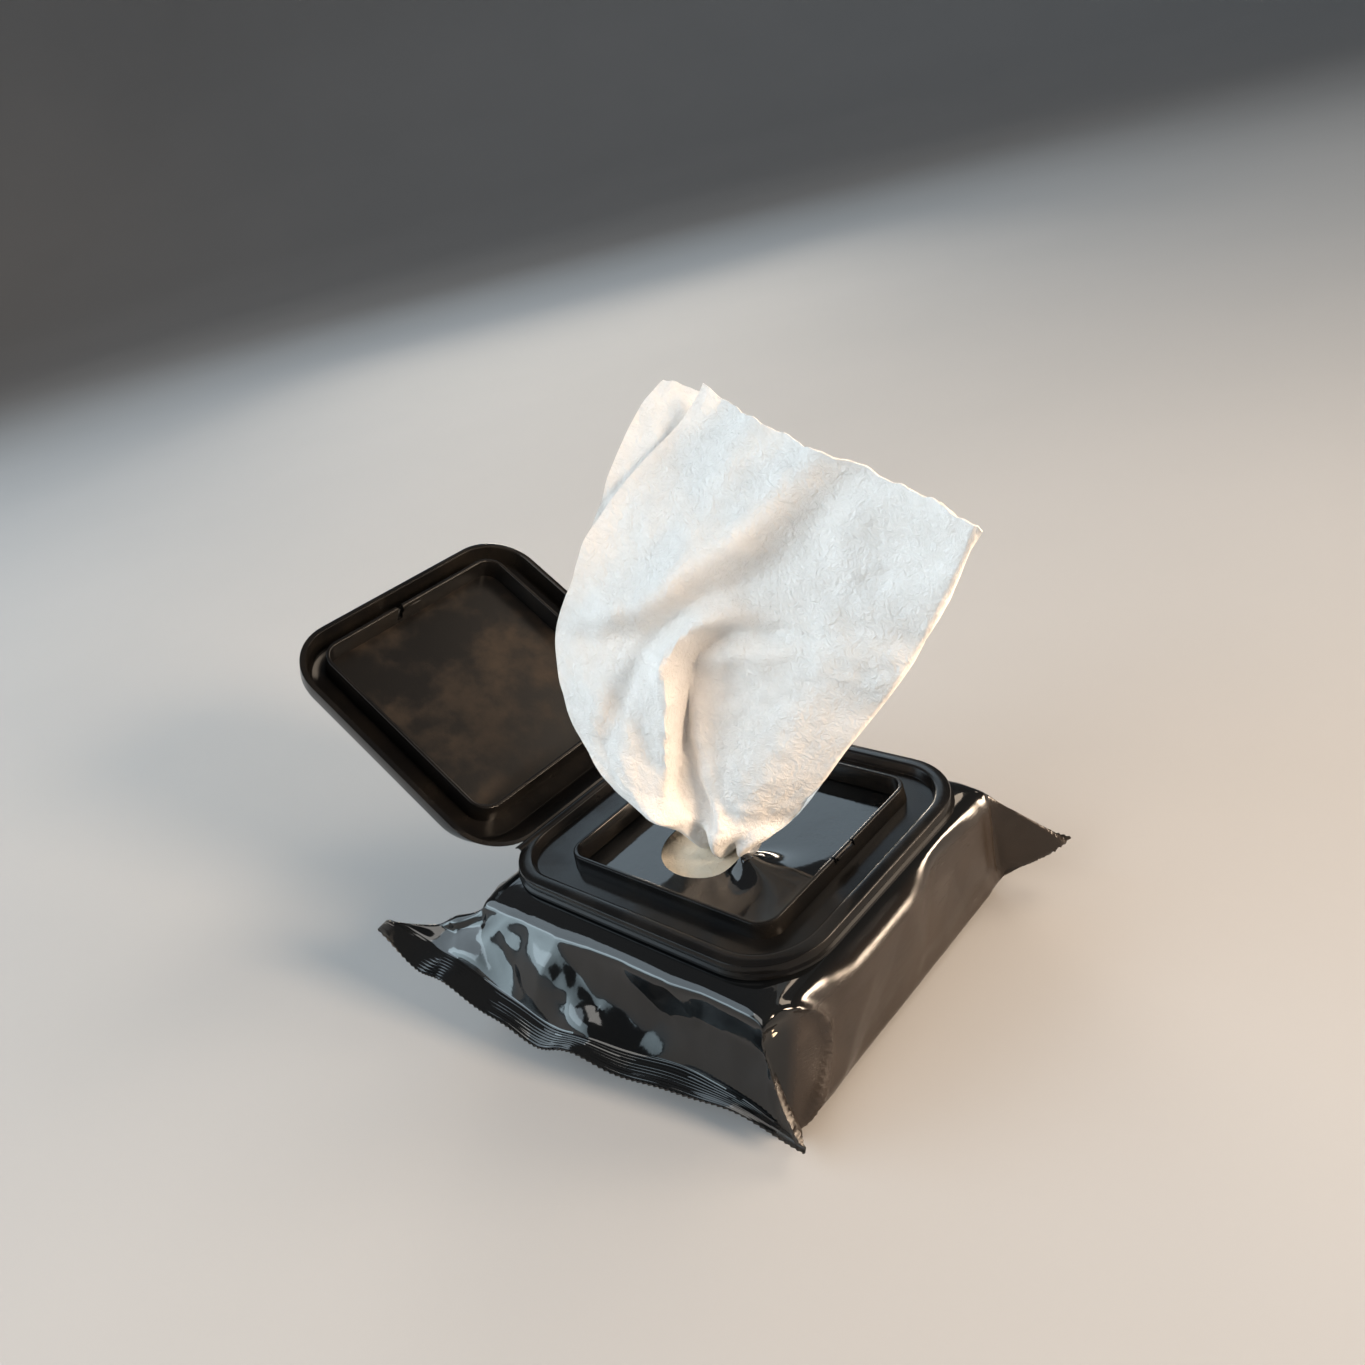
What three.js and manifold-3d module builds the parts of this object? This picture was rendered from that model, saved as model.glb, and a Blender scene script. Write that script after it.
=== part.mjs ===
import * as THREE from "three";
import * as BufferGeometryUtils from "three/addons/utils/BufferGeometryUtils.js";
import Module from "manifold-3d";

const wasm = await Module();
wasm.setup();

// All sizes are in millimetres. X runs along the pack from seal to seal, Y across it towards the
// hinge, and Z up from the flat underside. The origin is the middle of the underside.

// Folded wipes
const WIPE_COUNT = 11;
const WIPE_PITCH = 2.35;
const WIPE_BOTTOM = 0.95;
const WIPE_LEG = 0.92;              // one leg of the second fold, which is two plies pressed flat
const WIPE_SLOT = 0.3;
const WIPE_HALF_X = 36.4;
const WIPE_HALF_Y = 37.5;
const STACK_TOP = WIPE_BOTTOM + WIPE_COUNT * WIPE_PITCH;
const TAIL_ROOM = 2.4;              // from the stack to the film's outside, for the pulled wipe's tail

// Film pouch
const PACK_HALF_LENGTH = 38.4;      // where the top and bottom turn down into the end panels
const PACK_HALF_WIDTH = 40.7;
const PACK_HEIGHT = STACK_TOP + TAIL_ROOM;
const FILM = 0.7;                   // drawn thickness of the film
const EDGE_RADIUS = 3.5;            // of the four long edges
const SEAL_THICKNESS = 1.0;
const FAR_SEAL_MIDDLE = 0;          // of the seal at +X, across the pack
const FAR_SEAL_HALF = 53.5;         // half the film tube's girth, pressed flat
const FAR_SEAL_START = 43.2;        // where the two walls of the film meet
const FAR_SEAL_END = 48.8;
const FAR_SEAL_HEIGHT = PACK_HEIGHT * 0.43;
const NEAR_SEAL_MIDDLE = 7.5;       // of the seal at -X, which is pushed askew and curls up at +Y
const NEAR_SEAL_HALF = 53;
const NEAR_SEAL_START = 41.2;       // at its -Y tip, from where it runs further out
const NEAR_SEAL_END = 42.8;
const NEAR_SEAL_HEIGHT = PACK_HEIGHT * 0.32;
const NEAR_SEAL_LIFT = 12.5;        // of its +Y tip
const HOLE_X = -3.7;                // die-cut hole that the wipes are pulled through
const HOLE_Y = 1.2;
const HOLE_RADIUS = 11.0;

// Lid base, glued on top of the film
const BASE_X = 1.7;                 // its middle, along the pack
const BASE_HALF_X = 34.9;
const BASE_HALF_Y = 40.0;
const BASE_RADIUS = 15.0;
const BASE_BOTTOM = PACK_HEIGHT + 0.3;
const LIP_TOP = PACK_HEIGHT + 3.4;
const FLOOR_TOP = PACK_HEIGHT + 1.3;  // of the moat between the lip and the inner rim
const RIM_HALF_X = 25.6;
const RIM_FRONT = -29.9;
const RIM_REAR = 24.9;
const RIM_TOP = PACK_HEIGHT + 4.8;
const RIM_WALL = 1.0;
const NOTCH_WIDTH = 7.0;            // latch notch in the front of the inner rim
const NOTCH_DEPTH = 1.3;

// Lid, drawn closed and then turned open about its hinge
const HINGE_Y = BASE_HALF_Y - 1.6;  // the hinge lies just inside the rear edge of the lip
const HINGE_Z = LIP_TOP - 0.2;
const HINGE_HALF_X = 28.5;
const OPEN_ANGLE = 143.3;           // degrees from closed, as it stands in the photo
const LID_X = 2.07;
const LID_HALF_X = 35.5;
const LID_FRONT = 3.8 - BASE_HALF_Y;  // set back from the base, to leave a ledge for the thumb
const LID_REAR = HINGE_Y - 0.4;
const LID_EDGE = LIP_TOP + 0.3;     // underside of the skirt when closed
const LID_CEILING = LID_EDGE + 5.74;
const LID_TOP = LID_CEILING + 1.16;
const RIB_HALF_X = 28.0;
const RIB_FRONT = -31.0;
const RIB_REAR = 27.4;
const RIB_WALL = 1.0;
const RIB_EDGE = LID_EDGE + 0.2;

function material(colour, roughness, metalness = 0) {
  return new THREE.MeshStandardMaterial({
    color: new THREE.Color().setRGB(...colour, THREE.LinearSRGBColorSpace),
    roughness,
    metalness,
  });
}

const BLACK_FILM = material([0.012, 0.014, 0.016], 0.16);
const BLACK_PLASTIC = material([0.016, 0.016, 0.017], 0.36);
const WIPE_WHITE = material([0.86, 0.85, 0.83], 0.95);
const WIPE_CREAM = material([0.82, 0.76, 0.62], 0.95);

function mix(a, b, t) {
  return a + (b - a) * t;
}

function smooth(t) {
  const s = Math.min(1, Math.max(0, t));
  return s * s * (3 - 2 * s);
}

// A closed skin through loops of equal length. Each end is closed either by zipping the near half
// of its loop to the far half, or by a fan round a middle point. A ring joins its last loop to its
// first instead.
function skin(loops, end = "zip") {
  const n = loops[0].length;
  const points = loops.flat();
  const faces = [];
  const last = end === "ring" ? loops.length : loops.length - 1;
  for (let k = 0; k < last; k += 1) {
    const a = k * n;
    const b = ((k + 1) % loops.length) * n;
    for (let i = 0; i < n; i += 1) {
      const j = (i + 1) % n;
      faces.push(a + i, a + j, b + j, a + i, b + j, b + i);
    }
  }
  if (end === "zip") {
    zip(faces, 0, n, true);
    zip(faces, (loops.length - 1) * n, n, false);
  }
  if (end === "fan") {
    fan(points, faces, 0, n, true);
    fan(points, faces, (loops.length - 1) * n, n, false);
  }
  return solid(points, faces);
}

function zip(faces, start, n, flip) {
  const half = n / 2;
  for (let i = 0; i < half; i += 1) {
    const a = start + i;
    const b = start + i + 1;
    const c = start + ((n - i - 1) % n);
    const d = start + ((n - i) % n);
    const quad = [];
    if (b !== c) {
      quad.push([a, b, c]);
    }
    if (a !== d) {
      quad.push([a, c, d]);
    }
    for (const t of quad) {
      faces.push(...(flip ? [t[0], t[2], t[1]] : t));
    }
  }
}

function fan(points, faces, start, n, flip) {
  const middle = new THREE.Vector3();
  for (let i = 0; i < n; i += 1) {
    middle.add(points[start + i]);
  }
  points.push(middle.multiplyScalar(1 / n));
  const m = points.length - 1;
  for (let i = 0; i < n; i += 1) {
    const a = start + i;
    const b = start + ((i + 1) % n);
    faces.push(...(flip ? [m, b, a] : [m, a, b]));
  }
}

// A Manifold solid from points and faces, turned the right way out.
function solid(points, faces) {
  let volume = 0;
  const cross = new THREE.Vector3();
  for (let i = 0; i < faces.length; i += 3) {
    const [a, b, c] = [points[faces[i]], points[faces[i + 1]], points[faces[i + 2]]];
    volume += a.dot(cross.crossVectors(b, c)) / 6;
  }
  const turned = [];
  for (let i = 0; i < faces.length; i += 3) {
    turned.push(faces[i], ...(volume > 0 ? [faces[i + 1], faces[i + 2]] : [faces[i + 2], faces[i + 1]]));
  }
  return new wasm.Manifold(new wasm.Mesh({
    numProp: 3,
    vertProperties: new Float32Array(points.flatMap((p) => [p.x, p.y, p.z])),
    triVerts: new Uint32Array(turned),
  }));
}

function fromGeometry(geometry) {
  geometry.deleteAttribute("normal");
  geometry.deleteAttribute("uv");
  const merged = BufferGeometryUtils.mergeVertices(geometry, 1e-4);
  return new wasm.Manifold(new wasm.Mesh({
    numProp: 3,
    vertProperties: new Float32Array(merged.attributes.position.array),
    triVerts: new Uint32Array(merged.index.array),
  }));
}

function block(x0, x1, y0, y1, z0, z1) {
  const geometry = new THREE.BoxGeometry(x1 - x0, y1 - y0, z1 - z0);
  geometry.translate((x0 + x1) / 2, (y0 + y1) / 2, (z0 + z1) / 2);
  return fromGeometry(geometry);
}

function rodAlongX(x0, x1, y, z, radius, sides) {
  const geometry = new THREE.CylinderGeometry(radius, radius, x1 - x0, sides);
  geometry.rotateZ(Math.PI / 2);
  geometry.translate((x0 + x1) / 2, y, z);
  return fromGeometry(geometry);
}

// A prism along X with a convex outline in Y and Z.
function prismAlongX(x0, x1, outline) {
  const loops = [x0, x1].map((x) => outline.map(([y, z]) => new THREE.Vector3(x, y, z)));
  return skin(loops, "fan");
}

function mesh(name, body, look) {
  const data = body.getMesh();
  const geometry = new THREE.BufferGeometry();
  geometry.setAttribute("position", new THREE.BufferAttribute(new Float32Array(data.vertProperties), 3));
  geometry.setIndex(new THREE.BufferAttribute(new Uint32Array(data.triVerts), 1));
  geometry.computeVertexNormals();
  const made = new THREE.Mesh(geometry, look.clone());
  made.name = name;
  return made;
}

// A rectangle with round corners as a loop of points at one height.
function roundLoop(cx, hx, y0, y1, radius, z, corner = 7) {
  const loop = [];
  const cy = (y0 + y1) / 2;
  const hy = (y1 - y0) / 2;
  const signs = [[1, 1], [-1, 1], [-1, -1], [1, -1]];
  signs.forEach(([sx, sy], quarter) => {
    for (let i = 0; i <= corner; i += 1) {
      const a = (quarter + i / corner) * Math.PI / 2;
      const x = cx + sx * (hx - radius) + radius * Math.cos(a);
      const y = cy + sy * (hy - radius) + radius * Math.sin(a);
      loop.push(new THREE.Vector3(x, y, z));
    }
  });
  return loop;
}

// The upper half of the pouch's cross-section, from its +Y side over the top to its -Y side. Each
// point also carries how far along the half it lies, from 1 to -1.
function upperHalf(inset) {
  const w = PACK_HALF_WIDTH - inset;
  const h = PACK_HEIGHT / 2 - inset;
  const r = EDGE_RADIUS - inset / 2;
  const points = [];
  for (let i = 0; i < 2; i += 1) {
    points.push([w, (h - r) * i / 2]);
  }
  for (let i = 0; i <= 4; i += 1) {
    const a = i / 4 * Math.PI / 2;
    points.push([w - r + r * Math.cos(a), h - r + r * Math.sin(a)]);
  }
  for (let i = 1; i < 10; i += 1) {
    points.push([mix(w - r, r - w, i / 10), h]);
  }
  const mirrored = points.slice(0, 7).reverse().map(([y, z]) => [-y, z]);
  const all = points.concat(mirrored);
  let length = 0;
  const along = all.map(([y, z], i) => {
    if (i > 0) {
      length += Math.hypot(y - all[i - 1][0], z - all[i - 1][1]);
    }
    return length;
  });
  return all.map(([y, z], i) => ({ y, z, s: 1 - 2 * along[i] / length }));
}

// The seal at one end: how far across and how high a point of it lies, and where the seal starts
// and ends along the pack. s runs from 1 at its +Y tip to -1 at its -Y tip.
function sealLine(side, s) {
  if (side > 0) {
    const y = FAR_SEAL_MIDDLE + s * FAR_SEAL_HALF;
    const droop = 1.6 * smooth((Math.abs(y) - 26) / 28);
    const z = FAR_SEAL_HEIGHT + 0.8 * Math.sin(y / 11) - droop;
    return { y, z, start: FAR_SEAL_START, end: FAR_SEAL_END };
  }
  const y = NEAR_SEAL_MIDDLE + s * NEAR_SEAL_HALF;
  const lift = NEAR_SEAL_LIFT * Math.max(0, (y - 5) / (NEAR_SEAL_HALF + 1)) ** 1.7;
  const z = NEAR_SEAL_HEIGHT + lift - 4.5 * smooth((-14 - y) / 34) + 0.5 * Math.sin(y / 8);
  const start = NEAR_SEAL_START + 6.2 * smooth((y + 22) / 34);
  const end = NEAR_SEAL_END + 9.4 * smooth((y + 46) / 66) + 1.6 * smooth((y - 15) / 30);
  return { y, z, start, end };
}

// One cross-section of the pouch: t is 0 at the body's end, 1 where the seal starts, and 2 at the
// seal's outer edge.
function pouchLoop(side, t, inset) {
  const middle = PACK_HEIGHT / 2;
  const k = Math.min(1, t);
  const upper = [];
  const lower = [];
  for (const p of upperHalf(inset)) {
    const seal = sealLine(side, p.s * (1 - inset / 9));
    const edge = Math.sqrt(Math.max(0, 1 - p.s ** 6));
    const out = SEAL_THICKNESS / 2 * edge;
    const inner = PACK_HALF_LENGTH - inset * 0.4;
    const x = t <= 1 ? mix(inner, seal.start, k) : mix(seal.start, seal.end, t - 1);
    const droop = t > 1 ? 0.9 * (t - 1) : 0;
    const y = mix(p.y, seal.y, k);
    upper.push(new THREE.Vector3(side * x, y, mix(middle + p.z, seal.z + out, k) - droop));
    lower.push(new THREE.Vector3(side * x, y, mix(middle - p.z, seal.z - out, k) - droop));
  }
  return upper.concat(lower.slice(1, -1).reverse());
}

function filmPouch() {
  const steps = [2, 1.5, 1, 0.75, 0.5, 0.25, 0];
  const outside = steps.map((t) => pouchLoop(-1, t, 0));
  for (let i = 1; i < 6; i += 1) {
    const x = mix(-PACK_HALF_LENGTH, PACK_HALF_LENGTH, i / 6);
    outside.push(outside[6].map((p) => new THREE.Vector3(x, p.y, p.z)));
  }
  steps.slice().reverse().forEach((t) => outside.push(pouchLoop(1, t, 0)));
  const inside = [0.7, 0.35, 0].map((t) => pouchLoop(-1, t, FILM));
  [0, 0.35, 0.7].forEach((t) => inside.push(pouchLoop(1, t, FILM)));
  const hole = new THREE.CylinderGeometry(HOLE_RADIUS, HOLE_RADIUS, 6, 40);
  hole.rotateX(Math.PI / 2);
  hole.translate(HOLE_X, HOLE_Y, PACK_HEIGHT);
  return skin(outside).subtract(skin(inside)).subtract(fromGeometry(hole));
}

// The lid base is a ring: down its outer wall, under it, and up over the inner rim, moat and lip.
function lidBase() {
  const at = (inset, z) => roundLoop(
    BASE_X, BASE_HALF_X - inset, inset - BASE_HALF_Y, BASE_HALF_Y - inset, BASE_RADIUS - inset, z,
  );
  const rim = (inset, z) => roundLoop(
    BASE_X, RIM_HALF_X - inset, RIM_FRONT + inset, RIM_REAR - inset, 4.6 - inset, z,
  );
  const ring = skin([
    at(-0.5, BASE_BOTTOM),
    at(-0.5, BASE_BOTTOM + 0.6),
    at(0, BASE_BOTTOM + 0.9),
    at(0, LIP_TOP - 0.7),
    at(0.3, LIP_TOP - 0.3),
    at(2.4, LIP_TOP),
    at(3.2, LIP_TOP - 0.3),
    at(3.9, FLOOR_TOP),
    rim(-0.3, FLOOR_TOP),
    rim(0, RIM_TOP - 0.3),
    rim(0.25, RIM_TOP),
    rim(RIM_WALL - 0.2, RIM_TOP),
    rim(RIM_WALL, RIM_TOP - 0.3),
    rim(RIM_WALL + 0.2, BASE_BOTTOM),
  ], "ring");
  const notch = block(
    BASE_X - NOTCH_WIDTH / 2, BASE_X + NOTCH_WIDTH / 2,
    RIM_FRONT - 1, RIM_FRONT + RIM_WALL + 1, RIM_TOP - NOTCH_DEPTH, RIM_TOP + 1,
  );
  const tongue = block(
    BASE_X - 2.2, BASE_X + 2.2, RIM_FRONT - 0.7, RIM_FRONT + 0.5, RIM_TOP - 2.2, RIM_TOP - 0.9,
  );
  const hingeSeat = prismAlongX(LID_X - HINGE_HALF_X - 1, LID_X + HINGE_HALF_X + 1, [
    [HINGE_Y - 1.1, HINGE_Z + 1.6], [HINGE_Y - 1.1, HINGE_Z - 0.1], [HINGE_Y - 0.2, HINGE_Z - 0.9],
    [HINGE_Y + 0.6, HINGE_Z - 1.4], [HINGE_Y + 3.1, HINGE_Z - 2.5], [HINGE_Y + 3.1, HINGE_Z + 1.6],
  ]);
  return ring.subtract(notch).add(tongue).subtract(hingeSeat);
}

// The lid closed: its outside from the top down to the skirt's edge, then its inside with the rib
// that closes round the base's inner rim.
function lidClosed() {
  const out = (inset, rear, radius, z) => roundLoop(
    LID_X, LID_HALF_X - inset, LID_FRONT + inset, LID_REAR - rear, radius, z,
  );
  const rib = (inset, z) => roundLoop(
    LID_X, RIB_HALF_X - inset, RIB_FRONT + inset, RIB_REAR - inset, 5.2 - inset, z,
  );
  const tray = skin([
    out(5.5, 9.5, 8, LID_TOP),
    out(2.6, 6.6, 10.5, LID_TOP - 0.25),
    out(1.0, 5.0, 12, LID_TOP - 1.2),
    out(0.2, 3.6, 12.8, LID_TOP - 3.0),
    out(0, 0.4, 13, LID_EDGE + 0.7),
    out(0, 0, 13, LID_EDGE + 0.2),
    out(0.3, 0, 12.7, LID_EDGE),
    out(1.2, 0.9, 11.8, LID_EDGE),
    out(1.5, 1.5, 11.5, LID_EDGE + 0.5),
    out(2.0, 5.2, 11, LID_CEILING - 1.0),
    out(3.0, 6.4, 10, LID_CEILING),
    rib(-0.15, LID_CEILING),
    rib(0, RIB_EDGE + 0.2),
    rib(0.2, RIB_EDGE),
    rib(RIB_WALL - 0.2, RIB_EDGE),
    rib(RIB_WALL, RIB_EDGE + 0.2),
    rib(RIB_WALL + 0.15, LID_CEILING),
  ], "fan");
  const bead = rodAlongX(LID_X - HINGE_HALF_X, LID_X + HINGE_HALF_X, HINGE_Y, HINGE_Z, 0.42, 12);
  const web = prismAlongX(LID_X - HINGE_HALF_X, LID_X + HINGE_HALF_X, [
    [HINGE_Y + 0.3, HINGE_Z], [HINGE_Y + 0.05, LID_EDGE + 0.9], [HINGE_Y - 1.0, LID_EDGE + 0.9],
    [HINGE_Y - 1.0, LID_EDGE + 0.02], [HINGE_Y - 0.3, HINGE_Z],
  ]);
  const slot = block(
    LID_X - 4.2, LID_X - 2.6, RIB_FRONT - 0.5, RIB_FRONT + RIB_WALL + 0.5, RIB_EDGE - 1, LID_CEILING - 1.2,
  );
  const latch = block(
    LID_X - 2.6, LID_X + 2.9, RIB_FRONT + 0.4, RIB_FRONT + 1.35, RIB_EDGE + 0.9, RIB_EDGE + 2.0,
  );
  return tray.add(bead).add(web).subtract(slot).add(latch);
}

function lidOpen() {
  return lidClosed()
    .translate([0, -HINGE_Y, -HINGE_Z])
    .rotate([-OPEN_ANGLE, 0, 0])
    .translate([0, HINGE_Y, HINGE_Z]);
}

// One wipe of the stack, folded in half and in half again: two legs joined by a round fold, which
// lies at +X on every other wipe.
function foldedWipe(index) {
  const shape = new THREE.Shape();
  const height = 2 * WIPE_LEG + WIPE_SLOT;
  const turn = height / 2;
  const side = index % 2 ? 1 : -1;
  shape.moveTo(-WIPE_HALF_X, 0);
  shape.lineTo(WIPE_HALF_X - turn, 0);
  shape.absarc(WIPE_HALF_X - turn, turn, turn, -Math.PI / 2, Math.PI / 2, false);
  shape.lineTo(-WIPE_HALF_X, height);
  shape.lineTo(-WIPE_HALF_X, WIPE_LEG + WIPE_SLOT);
  shape.lineTo(WIPE_HALF_X - turn, WIPE_LEG + WIPE_SLOT);
  shape.absarc(WIPE_HALF_X - turn, turn, WIPE_SLOT / 2, Math.PI / 2, -Math.PI / 2, true);
  shape.lineTo(-WIPE_HALF_X, WIPE_LEG);
  shape.lineTo(-WIPE_HALF_X, 0);
  const geometry = new THREE.ExtrudeGeometry(shape, {
    depth: 2 * WIPE_HALF_Y, bevelEnabled: false, curveSegments: 5,
  });
  geometry.rotateX(Math.PI / 2);
  geometry.translate(0, WIPE_HALF_Y, 0);
  if (side < 0) {
    geometry.rotateZ(Math.PI);
  }
  const shift = 0.35 * Math.sin(index * 2.4);
  geometry.translate(shift, 0.5 * Math.cos(index * 1.7), WIPE_BOTTOM + WIPE_PITCH * index);
  return fromGeometry(geometry);
}

// The pulled wipe, from its flat tail on the stack, up through the hole and out to its free end.
// Each row gives the +Y edge, the -Y edge, the half thickness and how far the surface waves. The
// heights count from the top of the film.
const PULLED_WIPE = [
  [[34, 35, -1.6], [34, -35, -1.6], 0.5, 0],
  [[21, 32, -1.6], [21, -32, -1.6], 0.5, 0],
  [[8, 20, -1.6], [8, -21, -1.6], 0.55, 0],
  [[1, 8, -1.6], [1, -9.5, -1.6], 0.55, 0],
  [[-2.4, 5, -0.9], [-1.8, -7.5, -0.9], 0.8, 0],
  [[-4.2, 5, 1.4], [-2.6, -7.8, 0.8], 1.5, 0.2],
  [[-6, 9, 6.3], [-0.5, -12, 3.8], 1.6, 0.6],
  [[-9, 14, 10.8], [3, -16, 6.8], 1.3, 1.6],
  [[-10, 22, 18.8], [4, -22, 13.8], 1.0, 2.4],
  [[-9, 29, 30.8], [6, -31, 25.8], 0.8, 2.6],
  [[-6, 30, 46.8], [7, -40, 36.8], 0.7, 2.2],
  [[-2, 23, 59.8], [7, -47, 45.8], 0.65, 1.6],
  [[4, 18, 71.8], [7, -53, 54.8], 0.6, 1.2],
  [[12, 12, 83.8], [7, -59, 63.8], 0.6, 1.0],
  [[20, 5, 93.3], [4, -66, 75.3], 0.6, 0.8],
];

// Its two main folds run along these lines: a ridge that twists up out of the hole, and a
// diagonal above it. Each point is a row and a share of the width, counted from the +Y edge.
const RIDGE_LINE = [
  [5, 0.5], [6, 0.4], [7.2, 0.3], [8.3, 0.35], [9, 0.375], [10, 0.39], [11, 0.44], [12, 0.46],
];
const DIAGONAL_LINE = [
  [8.5, -0.1], [10.25, 0.15], [10.75, 0.28], [11.5, 0.38], [12.4, 0.5], [13.3, 0.555], [14, 0.6],
];

function bell(x, width) {
  return Math.exp(-((x / width) ** 2));
}

function shareAt(line, row) {
  const next = line.findIndex(([r]) => r >= row);
  if (next < 1) {
    return next === 0 ? line[0][1] : line[line.length - 1][1];
  }
  const [r0, s0] = line[next - 1];
  const [r1, s1] = line[next];
  return mix(s0, s1, (row - r0) / (r1 - r0));
}

// How far the folds stand out of the wipe at a row and a share of the width.
function foldHeight(row, share) {
  const ridge = share - shareAt(RIDGE_LINE, row);
  const strength = smooth((row - 4.6) / 1.6) * (1 - smooth((row - 10.4) / 1.3));
  const valley = 2.8 * bell(ridge - 0.085, 0.055);
  const twist = 4.2 * bell(ridge, 0.055) - valley + 1.2 * bell(ridge + 0.17, 0.09);
  const hook = bell(row - 11.05 - 0.5 * (share - 0.5), 0.42) * bell(share - 0.5, 0.1);
  const dip = bell(row - 10.35, 0.5) * bell(share - 0.58, 0.12);
  const diagonal = share - shareAt(DIAGONAL_LINE, row);
  const reach = smooth((row - 9.6) / 1.6);
  const slant = 2.4 * bell(diagonal + 0.03, 0.07) - 1.9 * bell(diagonal - 0.09, 0.09);
  return strength * twist + 3.2 * hook - 2.2 * dip + reach * slant;
}

// A point of the wipe's edges between two rows, on a smooth curve through them all.
function rowAt(row) {
  const last = PULLED_WIPE.length - 1;
  const i = Math.min(last - 1, Math.floor(row));
  const f = row - i;
  const four = [i - 1, i, i + 1, i + 2].map((k) => PULLED_WIPE[Math.min(last, Math.max(0, k))].flat());
  return four[0].map((_, n) => {
    const [a, b, c, d] = four.map((values) => values[n]);
    const bend = (2 * a - 5 * b + 4 * c - d) * f * f + (3 * b - a - 3 * c + d) * f * f * f;
    return 0.5 * (2 * b + (c - a) * f + bend);
  });
}

function pulledWipe() {
  const across = 30;
  const rows = [];
  for (let row = 0; row < PULLED_WIPE.length - 1; row += row < 5 ? 1 : 0.5) {
    rows.push(row);
  }
  rows.push(PULLED_WIPE.length - 1);
  const lines = rows.map((row) => {
    const v = rowAt(row);
    const a = new THREE.Vector3(v[0], v[1], PACK_HEIGHT + v[2]);
    const b = new THREE.Vector3(v[3], v[4], PACK_HEIGHT + v[5]);
    return { row, a, b, thick: v[6], wave: v[7], middle: a.clone().lerp(b, 0.5) };
  });
  const loops = lines.map(({ row, a, b, thick, wave }, k) => {
    const before = lines[Math.max(0, k - 1)].middle;
    const after = lines[Math.min(lines.length - 1, k + 1)].middle;
    const normal = b.clone().sub(a).cross(after.clone().sub(before)).normalize();
    const upper = [];
    const lower = [];
    for (let i = 0; i <= across; i += 1) {
      const s = Math.cos(i / across * Math.PI);
      const share = (1 - s) / 2;
      const body = Math.sqrt(Math.max(0, 1 - s ** 8));
      const swing = wave * Math.sin(5.2 * s + 0.55 * row) * (1 - s * s * 0.5);
      const base = a.clone().lerp(b, share).addScaledVector(normal, swing + foldHeight(row, share));
      upper.push(base.clone().addScaledVector(normal, thick * body));
      lower.push(base.clone().addScaledVector(normal, -thick * body));
    }
    return upper.concat(lower.slice(1, -1).reverse());
  });
  return skin(loops);
}

const group = new THREE.Group();
group.name = "wipes_pack";
group.add(mesh("film_pouch", filmPouch(), BLACK_FILM));
group.add(mesh("lid_base", lidBase(), BLACK_PLASTIC));
group.add(mesh("lid", lidOpen(), BLACK_PLASTIC));
group.add(mesh("pulled_wipe", pulledWipe(), WIPE_WHITE));
for (let i = 0; i < WIPE_COUNT; i += 1) {
  const name = `wipe_${String(i + 1).padStart(2, "0")}`;
  group.add(mesh(name, foldedWipe(i), WIPE_CREAM));
}

export default group;
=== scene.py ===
# %% [markdown]
# # A pack of polishing wipes
# The real object is a small black flow pack: a tube of glossy film, pressed shut at both ends,
# with a rigid flip-top lid glued over a round hole. Folded damp wipes lie inside, and the next
# one stands pulled half out of the hole. The packed solids are loaded first as a fixed frame,
# and each visible piece is then modelled in their place, in metres.

# %% Load the frame
import math
from collections import Counter

import bmesh
import bpy
import numpy as np
from mathutils import Matrix, Vector


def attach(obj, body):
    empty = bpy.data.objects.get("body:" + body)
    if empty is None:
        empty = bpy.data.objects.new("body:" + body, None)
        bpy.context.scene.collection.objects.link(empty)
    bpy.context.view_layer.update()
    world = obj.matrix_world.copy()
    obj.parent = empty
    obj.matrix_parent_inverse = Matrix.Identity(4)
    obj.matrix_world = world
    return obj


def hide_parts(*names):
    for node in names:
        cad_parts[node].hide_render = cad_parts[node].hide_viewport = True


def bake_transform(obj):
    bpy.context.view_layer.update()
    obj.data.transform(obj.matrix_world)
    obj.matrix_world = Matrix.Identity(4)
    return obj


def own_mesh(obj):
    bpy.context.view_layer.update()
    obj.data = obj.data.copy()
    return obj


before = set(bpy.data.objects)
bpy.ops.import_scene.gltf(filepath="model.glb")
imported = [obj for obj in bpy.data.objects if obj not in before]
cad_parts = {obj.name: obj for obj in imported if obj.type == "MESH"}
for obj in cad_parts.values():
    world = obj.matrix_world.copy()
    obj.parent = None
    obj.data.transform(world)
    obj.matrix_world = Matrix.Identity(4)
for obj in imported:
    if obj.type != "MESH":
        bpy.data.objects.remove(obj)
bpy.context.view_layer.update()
MM = 0.001

# %% [markdown]
# ## The camera
# The picture looks down on the pack from its near left corner, with the camera rolled a little.
# A camera can be aimed with a constraint, but here its three axes are known from the straight
# edges of the lid base, so they are written as the columns of its matrix.

# %% Camera
CAMERA_PLACE = (-0.13635, -0.14738, 0.17104)
CAMERA_RIGHT = (0.63632378, -0.73864928, -0.22246188)
CAMERA_UP = (0.48389653, 0.15760675, 0.86081604)
CAMERA_BACK = (-0.60077965, -0.65540625, 0.45771875)
camera_data = bpy.data.cameras.new("camera")
camera_data.lens = 30.02
camera_data.sensor_width = 36.0
camera_data.clip_start = 0.01
camera = bpy.data.objects.new("camera", camera_data)
bpy.context.scene.collection.objects.link(camera)
columns = Matrix((CAMERA_RIGHT, CAMERA_UP, CAMERA_BACK)).transposed().to_4x4()
camera.matrix_world = Matrix.Translation(CAMERA_PLACE) @ columns
bpy.context.scene.camera = camera
print("camera:", [round(x, 4) for x in camera.location])

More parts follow.
